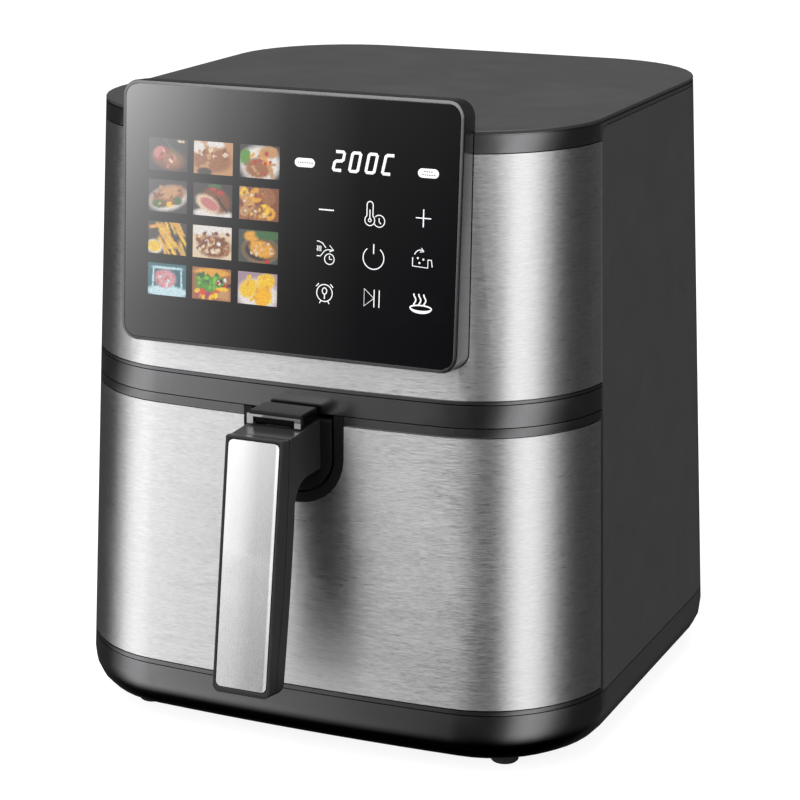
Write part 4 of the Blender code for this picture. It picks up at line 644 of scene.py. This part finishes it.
board, tree, shader, place = finish("board_green", 0.40)
tracks = new_node(tree, "ShaderNodeTexBrick", offset=0.37)
feed(tree, tracks.inputs["Vector"], place)
tracks.inputs["Scale"].default_value = 240.0
tracks.inputs["Mortar Size"].default_value = 0.035
tracks.inputs["Color1"].default_value = (0.018, 0.105, 0.042, 1.0)
tracks.inputs["Color2"].default_value = (0.022, 0.135, 0.055, 1.0)
tracks.inputs["Mortar"].default_value = (0.10, 0.19, 0.06, 1.0)
join(tree, tracks.outputs["Color"], shader.inputs["Base Color"])
bump(tree, shader, tracks.outputs["Fac"], 0.3, 0.0001)

chrome, tree, shader, place = finish("chrome_trim", 0.08, 1.0)
touched = use(tree, handling, place, Size=70.0, Amount=0.08)["Mask"]
join(tree, math_node(tree, "ADD", touched, 0.06), shader.inputs["Roughness"])
join(tree, blend(tree, touched, (0.86, 0.86, 0.87), (0.70, 0.70, 0.71)), shader.inputs["Base Color"])

magnet, tree, shader, place = finish("magnet_nickel", 0.25, 1.0)
texture = use(tree, mould, place, Scale=1200.0)
nickel = blend(tree, texture["Cloud"], (0.50, 0.50, 0.49), (0.66, 0.66, 0.64))
join(tree, nickel, shader.inputs["Base Color"])
bump(tree, shader, texture["Height"], 0.08, 0.00004)
print("other finishes", coating.name, heater.name, board.name, chrome.name, magnet.name)

# %% [markdown]
# ## The glass of the display
# The panel is black glass with a painted reflection, given as a glow, that fades from its upper
# left corner towards the lower right, where the dark cloth is mirrored. It is made from the place
# on the panel: one slope across and one down, multiplied together.

# %% Painted reflection group and display glass
# Painted reflection: a ramp across the glass and a fall from top to foot.
PAINTED_REFLECTION_RAMP = ((0.0, 0.44), (0.12, 0.31), (0.30, 0.150), (0.50, 0.050), (0.72, 0.009), (1.0, 0.001))
PAINTED_REFLECTION_BLUE = 1.01
GLASS_GLOSS = 0.12
PAINTED_REFLECTION_CURVE = 1.6
PAINTED_REFLECTION_FOOT = 0.28
painted_reflection_group, given, result = new_group(
    "screen_painted_reflection",
    [("Vector", VECTOR, None)],
    [("Color", "NodeSocketColor")],
)
place = axes_of(painted_reflection_group, given["Vector"])
rightward = span(painted_reflection_group, place[0], -glass_half, glass_half, smooth=False)
upward = span(painted_reflection_group, place[2], glass_low.z, glass_high.z, smooth=False)
curve = math_node(painted_reflection_group, "POWER", upward, PAINTED_REFLECTION_CURVE)
fall = math_node(painted_reflection_group, "MULTIPLY_ADD", curve, 1 - PAINTED_REFLECTION_FOOT, PAINTED_REFLECTION_FOOT)
painted_reflection = grey_ramp(painted_reflection_group, rightward, PAINTED_REFLECTION_RAMP, PAINTED_REFLECTION_BLUE)
join(painted_reflection_group, blend(painted_reflection_group, 1.0, painted_reflection, fall, "MULTIPLY"), result["Color"])

glass_finish, tree, shader, place = finish("display_glass", 0.06)
shader.inputs["Specular IOR Level"].default_value = GLASS_GLOSS
touched = use(tree, handling, place, Size=34.0, Amount=0.10)["Mask"]
# The painted reflection glows from the glass.
join(tree, use(tree, painted_reflection_group, place)["Color"], shader.inputs["Emission Color"])
shader.inputs["Emission Strength"].default_value = 1.0
join(tree, blend(tree, touched, (0.003, 0.003, 0.004), (0.008, 0.008, 0.009)), shader.inputs["Base Color"])
join(tree, math_node(tree, "MULTIPLY_ADD", touched, 0.4, 0.05), shader.inputs["Roughness"])
print("glass", glass_finish.name)

# %% [markdown]
# ## A smooth skin for every piece
# The model's pieces come as loose flat triangles, which is right for measuring and wrong for
# light. Each piece gets a copy with its doubled corners merged and its normals smoothed except
# at true edges. The copy rides on the same body and stands for the original. It could be
# modelled again by hand, but then the two would drift apart.

# %% Copy, merge and smooth
FINISHES = {
    "charcoal_plastic": charcoal_painted_lighter,
    "black_plastic": black,
    "brushed_steel": steel,
    "plated_sheet": sheet_metal,
    "nonstick_coating": coating,
    "foot_rubber": rubber,
    "chrome_trim": chrome,
    "display_glass": glass_finish,
    "board_green": board,
    "heat_plastic": heat_plastic,
    "polished_insert": insert_metal,
    "button_grey": button_finish,
    "bolt_plastic": acetal,
    "heater_sheath": heater,
    "fan_plastic": fan_plastic,
    "ceramic": ceramic,
    "magnet_nickel": magnet,
}
SPECIAL = {
    "top_cover": lid_painted_darker,
    "display_housing": rim_finish,
    "mid_band": band_finish,
    "top_frame": band_finish,
    "base_tray": base_finish,
    "drawer_front_frame": lip_finish,
    "upper_front_frame": lip_finish,
    "handle_rear_shell": grip,
    "handle_front_shell": grip,
    "button_cover": cover_finish,
}
SMOOTH_ANGLE = math.radians(28)
MERGE_DISTANCE = 1e-6
STORED_SHADING = ("custom_normal", "sharp_edge", "sharp_face")
slot_of = {entry["node"]: entry["material_slot"] for entry in frame["record"]["subparts"]}


def smooth_copy(name):
    """A merged and smoothed copy of a piece, which stands for it."""
    source = nodes[name]
    mesh = source.data.copy()
    mesh.name = name + "_skin"
    shape = bmesh.new()
    shape.from_mesh(mesh)
    bmesh.ops.remove_doubles(shape, verts=shape.verts, dist=MERGE_DISTANCE)
    bmesh.ops.recalc_face_normals(shape, faces=shape.faces)
    shape.to_mesh(mesh)
    shape.free()
    for stored in STORED_SHADING:
        if stored in mesh.attributes:
            mesh.attributes.remove(mesh.attributes[stored])
    made = bpy.data.objects.new(name + "_skin", mesh)
    bpy.context.scene.collection.objects.link(made)
    mesh.materials.clear()
    mesh.materials.append(SPECIAL.get(name, FINISHES[slot_of[name]]))
    mesh.shade_smooth()
    mesh.set_sharp_from_angle(angle=SMOOTH_ANGLE)
    even = made.modifiers.new("even_normals", "WEIGHTED_NORMAL")
    even.keep_sharp = True
    even.weight = 50
    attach(made, source["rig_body"])
    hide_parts(name)
    return made


skins = {name: smooth_copy(name) for name in sorted(nodes)}
print("smooth skins", len(skins))

# %% [markdown]
# ## The lit symbols
# Behind the glass, a printed mask lets light out as thin lines. Each symbol is drawn as strokes
# in millimetres on the face of the panel, given a width as a round wire, made a mesh, and
# pressed almost flat. Drawing with strokes keeps every line the same weight, which an outline
# drawn by hand would not.

# %% Strokes on the panel
MILLIMETRE = 0.001
RIM = 2.1
INK_DEPTH = 0.03
LINE = 0.52
STROKE_FLATNESS = 0.06

lit_symbol, tree, shader, place = finish("lit_symbol", 0.4)
glow = blend(tree, noise(tree, place, 300.0, 2.0), (0.66, 0.67, 0.68), (0.86, 0.87, 0.88))
join(tree, glow, shader.inputs["Emission Color"])
shader.inputs["Emission Strength"].default_value = 1.0
join(tree, blend(tree, 0.5, glow, (0.02, 0.02, 0.02)), shader.inputs["Base Color"])


def on_panel(made, depth):
    """Press a drawing flat, lay it on the glass and give it to the casing."""
    shrink = Matrix.Diagonal((MILLIMETRE, MILLIMETRE * depth, MILLIMETRE, 1.0))
    lower = Matrix.Translation((0, -INK_DEPTH * MILLIMETRE, -RIM * MILLIMETRE))
    made.data.transform(glass_place @ lower @ shrink)
    made.data.update()
    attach(made, nodes["display_glass"]["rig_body"])
    return made


def draw(name, strokes, centre, width=LINE, lean=0.0):
    """Strokes round a centre, as wires of one width that are pressed on to the panel."""
    bpy.ops.object.select_all(action="DESELECT")
    path = bpy.data.curves.new(name, "CURVE")
    path.dimensions = "3D"
    path.bevel_depth = width / 2
    path.bevel_resolution = 1
    path.use_fill_caps = True
    for stroke in strokes:
        closed = stroke[0] == stroke[-1] and len(stroke) > 2
        points = stroke[:-1] if closed else stroke
        line = path.splines.new("POLY")
        line.points.add(len(points) - 1)
        line.use_cyclic_u = closed
        for spot, (x, z) in zip(line.points, points):
            spot.co = (centre[0] + x + lean * z, 0.0, centre[1] + z, 1.0)
    made = bpy.data.objects.new(name, path)
    bpy.context.scene.collection.objects.link(made)
    made.select_set(True)
    bpy.context.view_layer.objects.active = made
    bpy.ops.object.convert(target="MESH")
    made = bpy.context.view_layer.objects.active
    made.data.materials.clear()
    made.data.materials.append(lit_symbol)
    return on_panel(made, STROKE_FLATNESS)


def arc(x, z, radius, start=0.0, end=360.0, steps=28, tall=1.0):
    """Points along part of a circle. A whole turn ends on its first point, which closes it."""
    points = []
    for i in range(steps + 1):
        angle = math.radians(start + (end - start) * i / steps)
        points.append((x + radius * math.cos(angle), z + tall * radius * math.sin(angle)))
    if end - start == 360.0:
        points[-1] = points[0]
    return points


COLUMNS = (21.5, 47.2, 72.8)
ROWS = (74.6, 53.8, 33.5)
draw("minus_key", [[(-4.0, 0.0), (4.0, 0.0)]], (COLUMNS[0], ROWS[0]), 0.75)
draw("plus_key", [[(-4.0, 0.0), (4.0, 0.0)], [(0.0, -4.3), (0.0, 4.3)]], (COLUMNS[2], ROWS[0]), 0.62)
bulb = arc(-2.5, -3.2, 2.6, -232, 52, 24)
tube = [bulb[-1]] + [(-0.9, 4.3)] + arc(-2.5, 4.3, 1.6, 0, 180, 10) + [(-4.1, 4.3), bulb[0]]
mercury = [arc(-2.5, -3.2, 0.75), [(-2.5, -2.4), (-2.5, 2.0)]]
dial = [arc(2.5, -3.3, 2.9, -150, 138, 26), [(2.4, -1.8), (2.4, -3.4), (3.4, -4.6)]]
draw("temperature_and_time_key", [bulb, tube] + mercury + dial, (COLUMNS[1], ROWS[0]))
flow = [[(-4.7, 5.2), (-3.6, 5.2), (-1.6, 4.4), (0.2, 2.2)]]
flow += [[(-4.7, -2.0), (-2.6, -2.0), (-0.6, 0.6), (1.0, 1.4), (4.4, 1.3)]]
flow += [[(2.2, 3.6), (4.4, 1.3), (2.2, 0.4)], arc(2.2, -3.2, 2.6), [(2.2, -1.6), (2.2, -3.2), (3.6, -3.3)]]
flow += [[(x, 3.0), (x + 0.3, 2.2), (x, 1.3), (x + 0.3, 0.4)] for x in (-4.5, -3.6, -2.7)]
draw("air_flow_time_key", flow, (COLUMNS[0], ROWS[1]))
draw("power_key", [arc(0.0, -0.6, 5.5, -232, 52, 40), [(0.0, 1.4), (0.0, 6.2)]], (COLUMNS[1], ROWS[1]), 0.58)
shake = [[(-5.0, 1.6), (-5.0, -2.6), (3.0, -3.0), (3.0, 0.9), (4.8, 0.9), (5.3, -2.4)]]
shake += [arc(-0.9, 2.2, 3.2, 60, 165, 12), [(-0.5, 6.4), (0.7, 4.7), (-1.2, 4.4)]]
shake += [arc(x, z, 0.30, steps=8) for x, z in ((-2.3, 1.4), (0.6, 0.9), (-1.4, -0.9))]
draw("shake_basket_key", shake, (COLUMNS[2], ROWS[1]))
alarm = [arc(0.0, 0.2, 4.2, steps=36), [(-4.6, 3.2), (-3.1, 4.8)], [(4.6, 3.2), (3.1, 4.8)]]
alarm += [[(-1.8, -3.6), (-2.6, -5.0)], [(1.8, -3.6), (2.6, -5.0)]]
alarm += [arc(0.0, 1.2, 1.2, tall=1.3), [(0.0, -0.4), (0.0, -2.7)]]
draw("meal_timer_key", alarm, (COLUMNS[0], ROWS[2]), 0.56)
play = [[(-4.4, -4.2), (-4.4, 4.4), (0.8, 0.0), (-4.4, -4.2)]]
play += [[(0.9, -4.4), (0.9, 4.2)], [(3.6, -4.4), (3.6, 4.2)]]
draw("start_and_pause_key", play, (COLUMNS[1], ROWS[2]))
steam = []
for x in (-3.0, -0.4, 2.2):
    steam.append([(x + 0.55 * math.sin(1.2 * z), z) for z in [-1.2 + 0.4 * i for i in range(15)]])
draw("keep_warm_steam", steam, (COLUMNS[2] - 0.2, ROWS[2]), 0.8)
dish = [arc(0.0, -2.6, 5.4, 190, 350, 24, 0.42), arc(0.0, -2.9, 4.9, 190, 350, 24, 0.34)]
dish += [arc(0.0, -2.6, 5.6, steps=32, tall=0.26)]
draw("keep_warm_dish", dish, (COLUMNS[2], ROWS[2]), 0.8)
print("symbols drawn")

# %% [markdown]
# ## Figures and pills
# The figures lean a little, as on a real panel, and each corner of a stroke is cut so that it
# looks rounded. The two pills are lit capsules filled by thick strokes, with small dark bars
# where a legend would be.

# %% The four figures
GLYPHS = {
    "2": [[(0, 9), (4.6, 9), (4.6, 4.6), (0.3, 4.4), (0, 0), (4.4, 0)]],
    "0": [[(0, 0), (4.4, 0), (4.6, 9), (0.2, 9), (0, 0)]],
    "C": [[(4.6, 9), (0.4, 9), (0, 0), (4.2, 0)]],
}
FIGURE_LEFT = 24.4
FIGURE_FOOT = 94.3
FIGURE_PITCH = 8.7
FIGURE_LINE = 1.8
FIGURE_LEAN = 0.17
CORNER_CUT = 0.75


def toward(start, end, distance):
    """The point at a distance from one point on the way to another."""
    share = distance / math.hypot(end[0] - start[0], end[1] - start[1])
    return (start[0] + share * (end[0] - start[0]), start[1] + share * (end[1] - start[1]))


def corners_cut(stroke):
    """A stroke with each corner replaced by two points. The ends of an open one stay."""
    closed = stroke[0] == stroke[-1]
    corners = stroke[:-1] if closed else stroke[1:-1]
    around = [stroke[-2]] + stroke if closed else stroke
    cut = []
    for before, corner, after in zip(around, corners, around[2:]):
        cut += [toward(corner, before, CORNER_CUT), toward(corner, after, CORNER_CUT)]
    return cut + cut[:1] if closed else [stroke[0]] + cut + [stroke[-1]]


for index, glyph in enumerate("200C"):
    strokes = [corners_cut(stroke) for stroke in GLYPHS[glyph]]
    place = (FIGURE_LEFT + FIGURE_PITCH * index, FIGURE_FOOT)
    draw(f"figure_{index}", strokes, place, FIGURE_LINE, FIGURE_LEAN)
print("figures drawn")

# %% The two pills
PILL_HALF = 3.2
PILL_RADIUS = 2.2
PILL_BORDER = 0.45
PILL_LINE = 1.1
MARK_LINE = 0.55
MARK_PROUD = 0.00004


def pill(name, x, z, marks):
    """A lit capsule with dark bars for its legend."""
    strokes = []
    for level in (-1.5, -0.5, 0.5, 1.5):
        reach = PILL_HALF + math.sqrt(PILL_RADIUS**2 - level**2) - 0.5
        strokes.append([(-reach, level), (reach, level)])
    edge = PILL_RADIUS - PILL_BORDER
    left_end = arc(-PILL_HALF, 0.0, edge, 90, 270, 12)
    right_end = arc(PILL_HALF, 0.0, edge, -90, 90, 12)
    strokes.append(left_end + right_end + [(-PILL_HALF, edge)])
    draw(name, strokes, (x, z), PILL_LINE)
    for index, (left, level, long) in enumerate(marks):
        bar = [(left, level), (left + long, level)]
        mark = draw(f"{name}_mark_{index}", [bar], (x, z), MARK_LINE)
        mark.data.transform(Matrix.Translation((0, -MARK_PROUD, 0)))
        mark.data.materials[0] = pill_mark


pill_mark, tree, shader, place = finish("pill_mark", 0.5)
printed = blend(tree, noise(tree, place, 400.0), (0.10, 0.10, 0.10), (0.17, 0.17, 0.17))
join(tree, printed, shader.inputs["Base Color"])
one_line = [(-3.9 + 1.25 * i, 0.0, 0.8) for i in range(7)]
two_lines = [(-2.2 + 1.2 * i, 0.75, 0.7) for i in range(4)]
two_lines += [(-3.2 + 1.2 * i, -0.75, 0.8) for i in range(6)]
pill("preheat_light", 9.3, 96.7, one_line)
pill("turn_light", 74.6, 96.2, two_lines)
print("pills drawn")

# %% [markdown]
# ## The twelve picture keys
# Each programme has a small lit picture of food. A picture is a fine sheet of small faces whose
# corners carry a colour. The colours are painted by simple brushes in order, from the plate to
# the garnish: a blob, a ring or a stick, each broken up by noise. Pictures could be flat squares
# of one colour, but the panel would look unlit.

# %% Brushes
TILE = (21.7, 16.2)
TILE_STEPS = (52, 39)
EDGE_SHARPNESS = {"blob": 3.0, "hoop": 1.5, "stick": 2.0}
WOBBLE, UNEVEN, FLECK = 0.4, 0.40, 0.10


def blob(x, z, wide, tall, colour, turn=0.0):
    """A soft ellipse."""
    return ("blob", x, z, wide, tall, colour, math.radians(turn))


def hoop(x, z, radius, thick, colour):
    """A soft ring."""
    return ("hoop", x, z, radius, thick, colour, 0.0)


def stick(x, z, length, thick, colour, turn):
    """A bar turned by an angle."""
    return ("stick", x, z, length / 2, thick / 2, colour, math.radians(turn))


def cover(brush, x, z):
    """How far a brush covers a place, from 0 to 1."""
    kind, mid_x, mid_z, first, second, _, turn = brush
    dx, dz = x - mid_x, z - mid_z
    along = dx * math.cos(turn) + dz * math.sin(turn)
    aside = dz * math.cos(turn) - dx * math.sin(turn)
    if kind == "blob":
        away = math.hypot(along / first, aside / second) - 1
    elif kind == "hoop":
        away = abs(math.hypot(dx, dz) - first) / second - 1
    else:
        away = max(abs(along) / first, abs(aside) / second) - 1
    return min(max(0.5 - away * EDGE_SHARPNESS[kind], 0.0), 1.0)


def painted(x, z, ground, brushes, seed):
    """The colour of a place in a picture, from the ground up."""
    colour = list(ground)
    wobble = WOBBLE * field.noise(Vector((x * 0.9, z * 0.9, seed)))
    for brush in brushes:
        share = cover(brush, x + wobble, z + wobble)
        if share > 0:
            lift = 1.0 + UNEVEN * field.noise(Vector((x * 1.7, z * 1.7, seed + 9.0 + brush[1])))
            colour = [old + (new * lift - old) * share for old, new in zip(colour, brush[5])]
    fleck = 1.0 + FLECK * field.noise(Vector((x * 3.1, z * 3.1, seed + 3.0)))
    return tuple(min(max(channel * fleck, 0.0), 1.0) for channel in colour)


def scattered(seed, count, colours, size, area, kind="blob"):
    """Many small brushes thrown over an area (left, foot, right, top)."""
    dice = random.Random(seed)
    made = []
    for _ in range(count):
        x = dice.uniform(area[0], area[2])
        z = dice.uniform(area[1], area[3])
        colour = dice.choice(colours)
        grow = dice.uniform(0.75, 1.25) * size
        if kind == "hoop":
            made.append(hoop(x, z, grow, grow * 0.42, colour))
        elif kind == "stick":
            made.append(stick(x, z, grow * 5, grow * 0.75, colour, dice.uniform(-70, -40)))
        else:
            made.append(blob(x, z, grow, grow * 0.7, colour, dice.uniform(0, 180)))
    return made


print("brushes ready")

# %% [markdown]
# ## What each picture shows
# A picture is a list of brushes in the order they are laid, from the plate up. Places are in
# millimetres from the lower left corner of the key. Crumbs, leaves and nuts are scattered with a
# seeded dice, so they fall the same way each time.

# %% The dishes, row by row
BROWN, ROAST, TAN = (0.30, 0.12, 0.05), (0.42, 0.20, 0.09), (0.62, 0.38, 0.20)
CREAM, WHITE, GOLD = (0.78, 0.66, 0.50), (0.80, 0.78, 0.76), (0.80, 0.46, 0.08)
YELLOW, RED, PINK = (0.88, 0.62, 0.06), (0.60, 0.05, 0.04), (0.62, 0.26, 0.26)
GREEN, LEAF, DARK = (0.16, 0.38, 0.06), (0.08, 0.22, 0.08), (0.07, 0.05, 0.045)
ICE, TEAL, CHAR = (0.62, 0.80, 0.86), (0.06, 0.20, 0.25), (0.03, 0.025, 0.025)
STEAK = [
    blob(11, 6, 9.5, 5.4, BROWN, -8), blob(6, 9, 3.6, 3.0, PINK, 30),
    blob(13, 6, 5, 3.4, ROAST), stick(7, 8, 8, 1.4, RED, 60),
    stick(14, 10, 15, 0.7, LEAF, -48),
]
STEAK += scattered(1, 14, (PINK, BROWN, CREAM), 0.9, (2, 2, 17, 11))
STEAK += [stick(18, 15, 4, 1.0, CREAM, -5)]
WINGS = [
    blob(10, 7, 11, 6, ROAST), blob(2, 13, 4, 3, WHITE), blob(12, 15, 5, 2, WHITE),
    stick(11, 9, 15, 3.2, ROAST, 22),
]
WINGS += scattered(2, 26, (TAN, ROAST, BROWN, CREAM), 1.3, (3, 3, 20, 13))
WINGS += [blob(6, 1, 4, 2, DARK)]
DRUM = [
    blob(11, 7, 11, 9, WHITE), blob(3, 10, 3, 4, GREEN), blob(10, 5, 7, 5, ROAST),
    stick(14, 9, 11, 2.4, GOLD, -55),
]
DRUM += [blob(16, 13, 5, 3, TAN), stick(17, 4, 7, 2.2, TAN, -70)]
DRUM += scattered(3, 16, (GOLD, BROWN, RED, TAN), 1.0, (5, 2, 19, 13))
FILLET = [
    blob(11, 7, 11, 6, WHITE, 15), blob(11, 8, 10, 5, ROAST, 20), blob(6, 4, 4, 2, LEAF),
    blob(16, 6, 3, 2, LEAF),
]
FILLET += [blob(12, 10, 6, 3, TAN, 20), blob(12, 4, 2, 1.4, YELLOW)]
FILLET += scattered(4, 16, (TAN, ROAST, BROWN, GOLD), 1.0, (3, 3, 18, 13))
LOAF = [
    blob(11, 1, 11, 3, WHITE), blob(13, 8, 8, 6, BROWN, -25), blob(8, 6, 7, 4, CREAM, -25),
    blob(9, 6, 5.4, 2.6, PINK, -25),
]
LOAF += [
    stick(16, 6, 9, 1.2, DARK, -50), blob(11, 14, 2, 1.3, RED), blob(15, 12, 1.6, 1.1, RED),
    blob(12, 15, 4, 1, LEAF),
]
RINGS = scattered(6, 20, (GOLD, YELLOW, TAN, ROAST), 2.1, (1, 1, 20, 15), "hoop")
RINGS += scattered(7, 10, (GOLD, RED, CREAM), 1.0, (1, 1, 20, 15))
FRIES = scattered(8, 26, (YELLOW, GOLD, (0.75, 0.5, 0.15)), 1.9, (8, 1, 20, 15), "stick")
FRIES += [blob(3.5, 3.5, 4.6, 3.6, WHITE), blob(3.5, 3.7, 3.9, 2.9, YELLOW)]
FRIES += [stick(5, 14, 9, 1.6, GOLD, 12)]
NUTS = [blob(11, 14, 12, 3, WHITE), blob(12, 6, 9, 5.5, BROWN)]
NUTS += scattered(9, 60, (CREAM, TAN, ROAST, WHITE, BROWN), 1.15, (2, 3, 20, 13))
BREAD = [
    blob(12, 6.5, 9.5, 6.3, TAN), blob(12, 6.5, 9, 5.6, CHAR),
    blob(13, 7, 7, 4.2, GOLD, -10), blob(7, 13, 4, 2.6, GOLD), blob(16, 14, 7, 2.2, LEAF),
]
BREAD += scattered(10, 22, (TAN, CREAM, GOLD), 0.9, (7, 4, 19, 10))
BREAD += [blob(16, 1, 1.5, 1, RED)]
FROZEN = [
    blob(11, 2, 12, 3, ICE), stick(11, 14, 16, 1.2, ICE, 0), stick(3, 9, 10, 0.9, ICE, 88),
    stick(19, 9, 10, 0.9, ICE, 92),
]
FROZEN += [blob(10, 8.5, 6, 4.6, (0.72, 0.42, 0.46))]
FROZEN += scattered(11, 14, ((0.70, 0.30, 0.36), WHITE, ICE, PINK), 1.1, (5, 4, 15, 12))
SALAD = [blob(10, 9, 8, 5.5, GREEN), blob(11, 14, 10, 2, GOLD)]
SALAD += scattered(12, 26, (GREEN, (0.28, 0.55, 0.10), LEAF), 1.4, (3, 6, 14, 13))
SALAD += scattered(13, 16, (RED, (0.75, 0.12, 0.05), (0.5, 0.1, 0.2), YELLOW), 1.5, (1, 1, 14, 5))
SALAD += scattered(14, 10, (RED, DARK, WHITE), 1.1, (14, 6, 21, 11))
SALAD += [stick(18, 3, 6, 4.5, TAN, 0), blob(17, 6, 3.4, 1.1, YELLOW)]
CHIPS = [
    blob(11, 5, 11, 8, WHITE), blob(6, 8, 5.4, 4.2, YELLOW, 40),
    blob(15.5, 12, 5, 4, YELLOW, 20), blob(14, 4.5, 5.6, 4.6, (0.9, 0.55, 0.03), 60),
]
CHIPS += scattered(15, 18, (YELLOW, GOLD, (0.95, 0.7, 0.1)), 1.0, (3, 2, 19, 15))
PICTURES = (
    (("steak", CHAR, STEAK), ("wings", TAN, WINGS), ("drumsticks", DARK, DRUM)),
    (("fillet", DARK, FILLET), ("roast", DARK, LOAF), ("rings", BROWN, RINGS)),
    (("fries", DARK, FRIES), ("nuts", CREAM, NUTS), ("flatbread", (0.10, 0.12, 0.10), BREAD)),
    (("frozen", TEAL, FROZEN), ("vegetables", ROAST, SALAD), ("fruit", (0.45, 0.35, 0.42), CHIPS)),
)
print("pictures planned", sum(len(line) for line in PICTURES))

# %% [markdown]
# ## Sheets that carry the pictures
# Each key is a grid extruded to a thin sheet. Every corner asks the brushes for its colour and
# keeps it in a colour attribute, which the material lights up. The same painted reflection as on
# the glass is screened over the colours, because the pictures shine through the glass.

# %% The picture keys
TILE_COLUMNS = (-66.15, -40.85, -15.2)
TILE_ROWS = (95.35, 74.6, 53.4, 32.4)
TILE_FLATNESS = 0.02
PICTURE_DEPTH = 1.35
PICTURE_LIGHT = (0.92, 0.90, 0.88)
PICTURE_UNLIT = (0.06, 0.06, 0.06)

picture, tree, shader, place = finish("lit_picture", 0.35)
paint = new_node(tree, "ShaderNodeAttribute", attribute_name="picture")
# The painted reflection of the glass, screened over the pictures.
painted_reflection = use(tree, painted_reflection_group, place)["Color"]
deep = new_node(tree, "ShaderNodeGamma")
deep.inputs["Gamma"].default_value = PICTURE_DEPTH
join(tree, paint.outputs["Color"], deep.inputs["Color"])
lit_paint = blend(tree, 1.0, deep.outputs[0], PICTURE_LIGHT, "MULTIPLY")
join(tree, blend(tree, 1.0, lit_paint, painted_reflection, "SCREEN"), shader.inputs["Emission Color"])
shader.inputs["Emission Strength"].default_value = 1.0
unlit_paint = blend(tree, 1.0, paint.outputs["Color"], PICTURE_UNLIT, "MULTIPLY")
join(tree, unlit_paint, shader.inputs["Base Color"])


def picture_key(name, column, row, ground, brushes, seed):
    """A thin sheet of small faces with a painted colour at each corner."""
    bpy.ops.object.select_all(action="DESELECT")
    bpy.ops.mesh.primitive_grid_add(x_subdivisions=TILE_STEPS[0], y_subdivisions=TILE_STEPS[1], size=1.0)
    made = bpy.context.active_object
    made.name = "picture_" + name
    bpy.ops.object.mode_set(mode="EDIT")
    bpy.ops.mesh.select_all(action="SELECT")
    bpy.ops.mesh.extrude_region_move(TRANSFORM_OT_translate={"value": (0, 0, 1.0)})
    bpy.ops.object.mode_set(mode="OBJECT")
    mesh = made.data
    colours = mesh.color_attributes.new("picture", "FLOAT_COLOR", "POINT")
    for vertex, spot in zip(mesh.vertices, colours.data):
        x = (vertex.co.x + 0.5) * TILE[0]
        z = (vertex.co.y + 0.5) * TILE[1]
        spot.color = (*painted(x, z, ground, brushes, seed), 1.0)
    stand = Matrix(((TILE[0], 0, 0, column), (0, 0, -1, 0), (0, TILE[1], 0, row), (0, 0, 0, 1)))
    mesh.transform(stand)
    bpy.ops.object.mode_set(mode="EDIT")
    bpy.ops.mesh.select_all(action="SELECT")
    bpy.ops.mesh.normals_make_consistent(inside=False)
    bpy.ops.object.mode_set(mode="OBJECT")
    mesh.materials.append(picture)
    return on_panel(made, TILE_FLATNESS)


for row, line in enumerate(PICTURES):
    for column, (name, ground, brushes) in enumerate(line):
        picture_key(name, TILE_COLUMNS[column], TILE_ROWS[row], ground, brushes, 7.0 * row + column)
print("pictures painted", sum(len(line) for line in PICTURES))
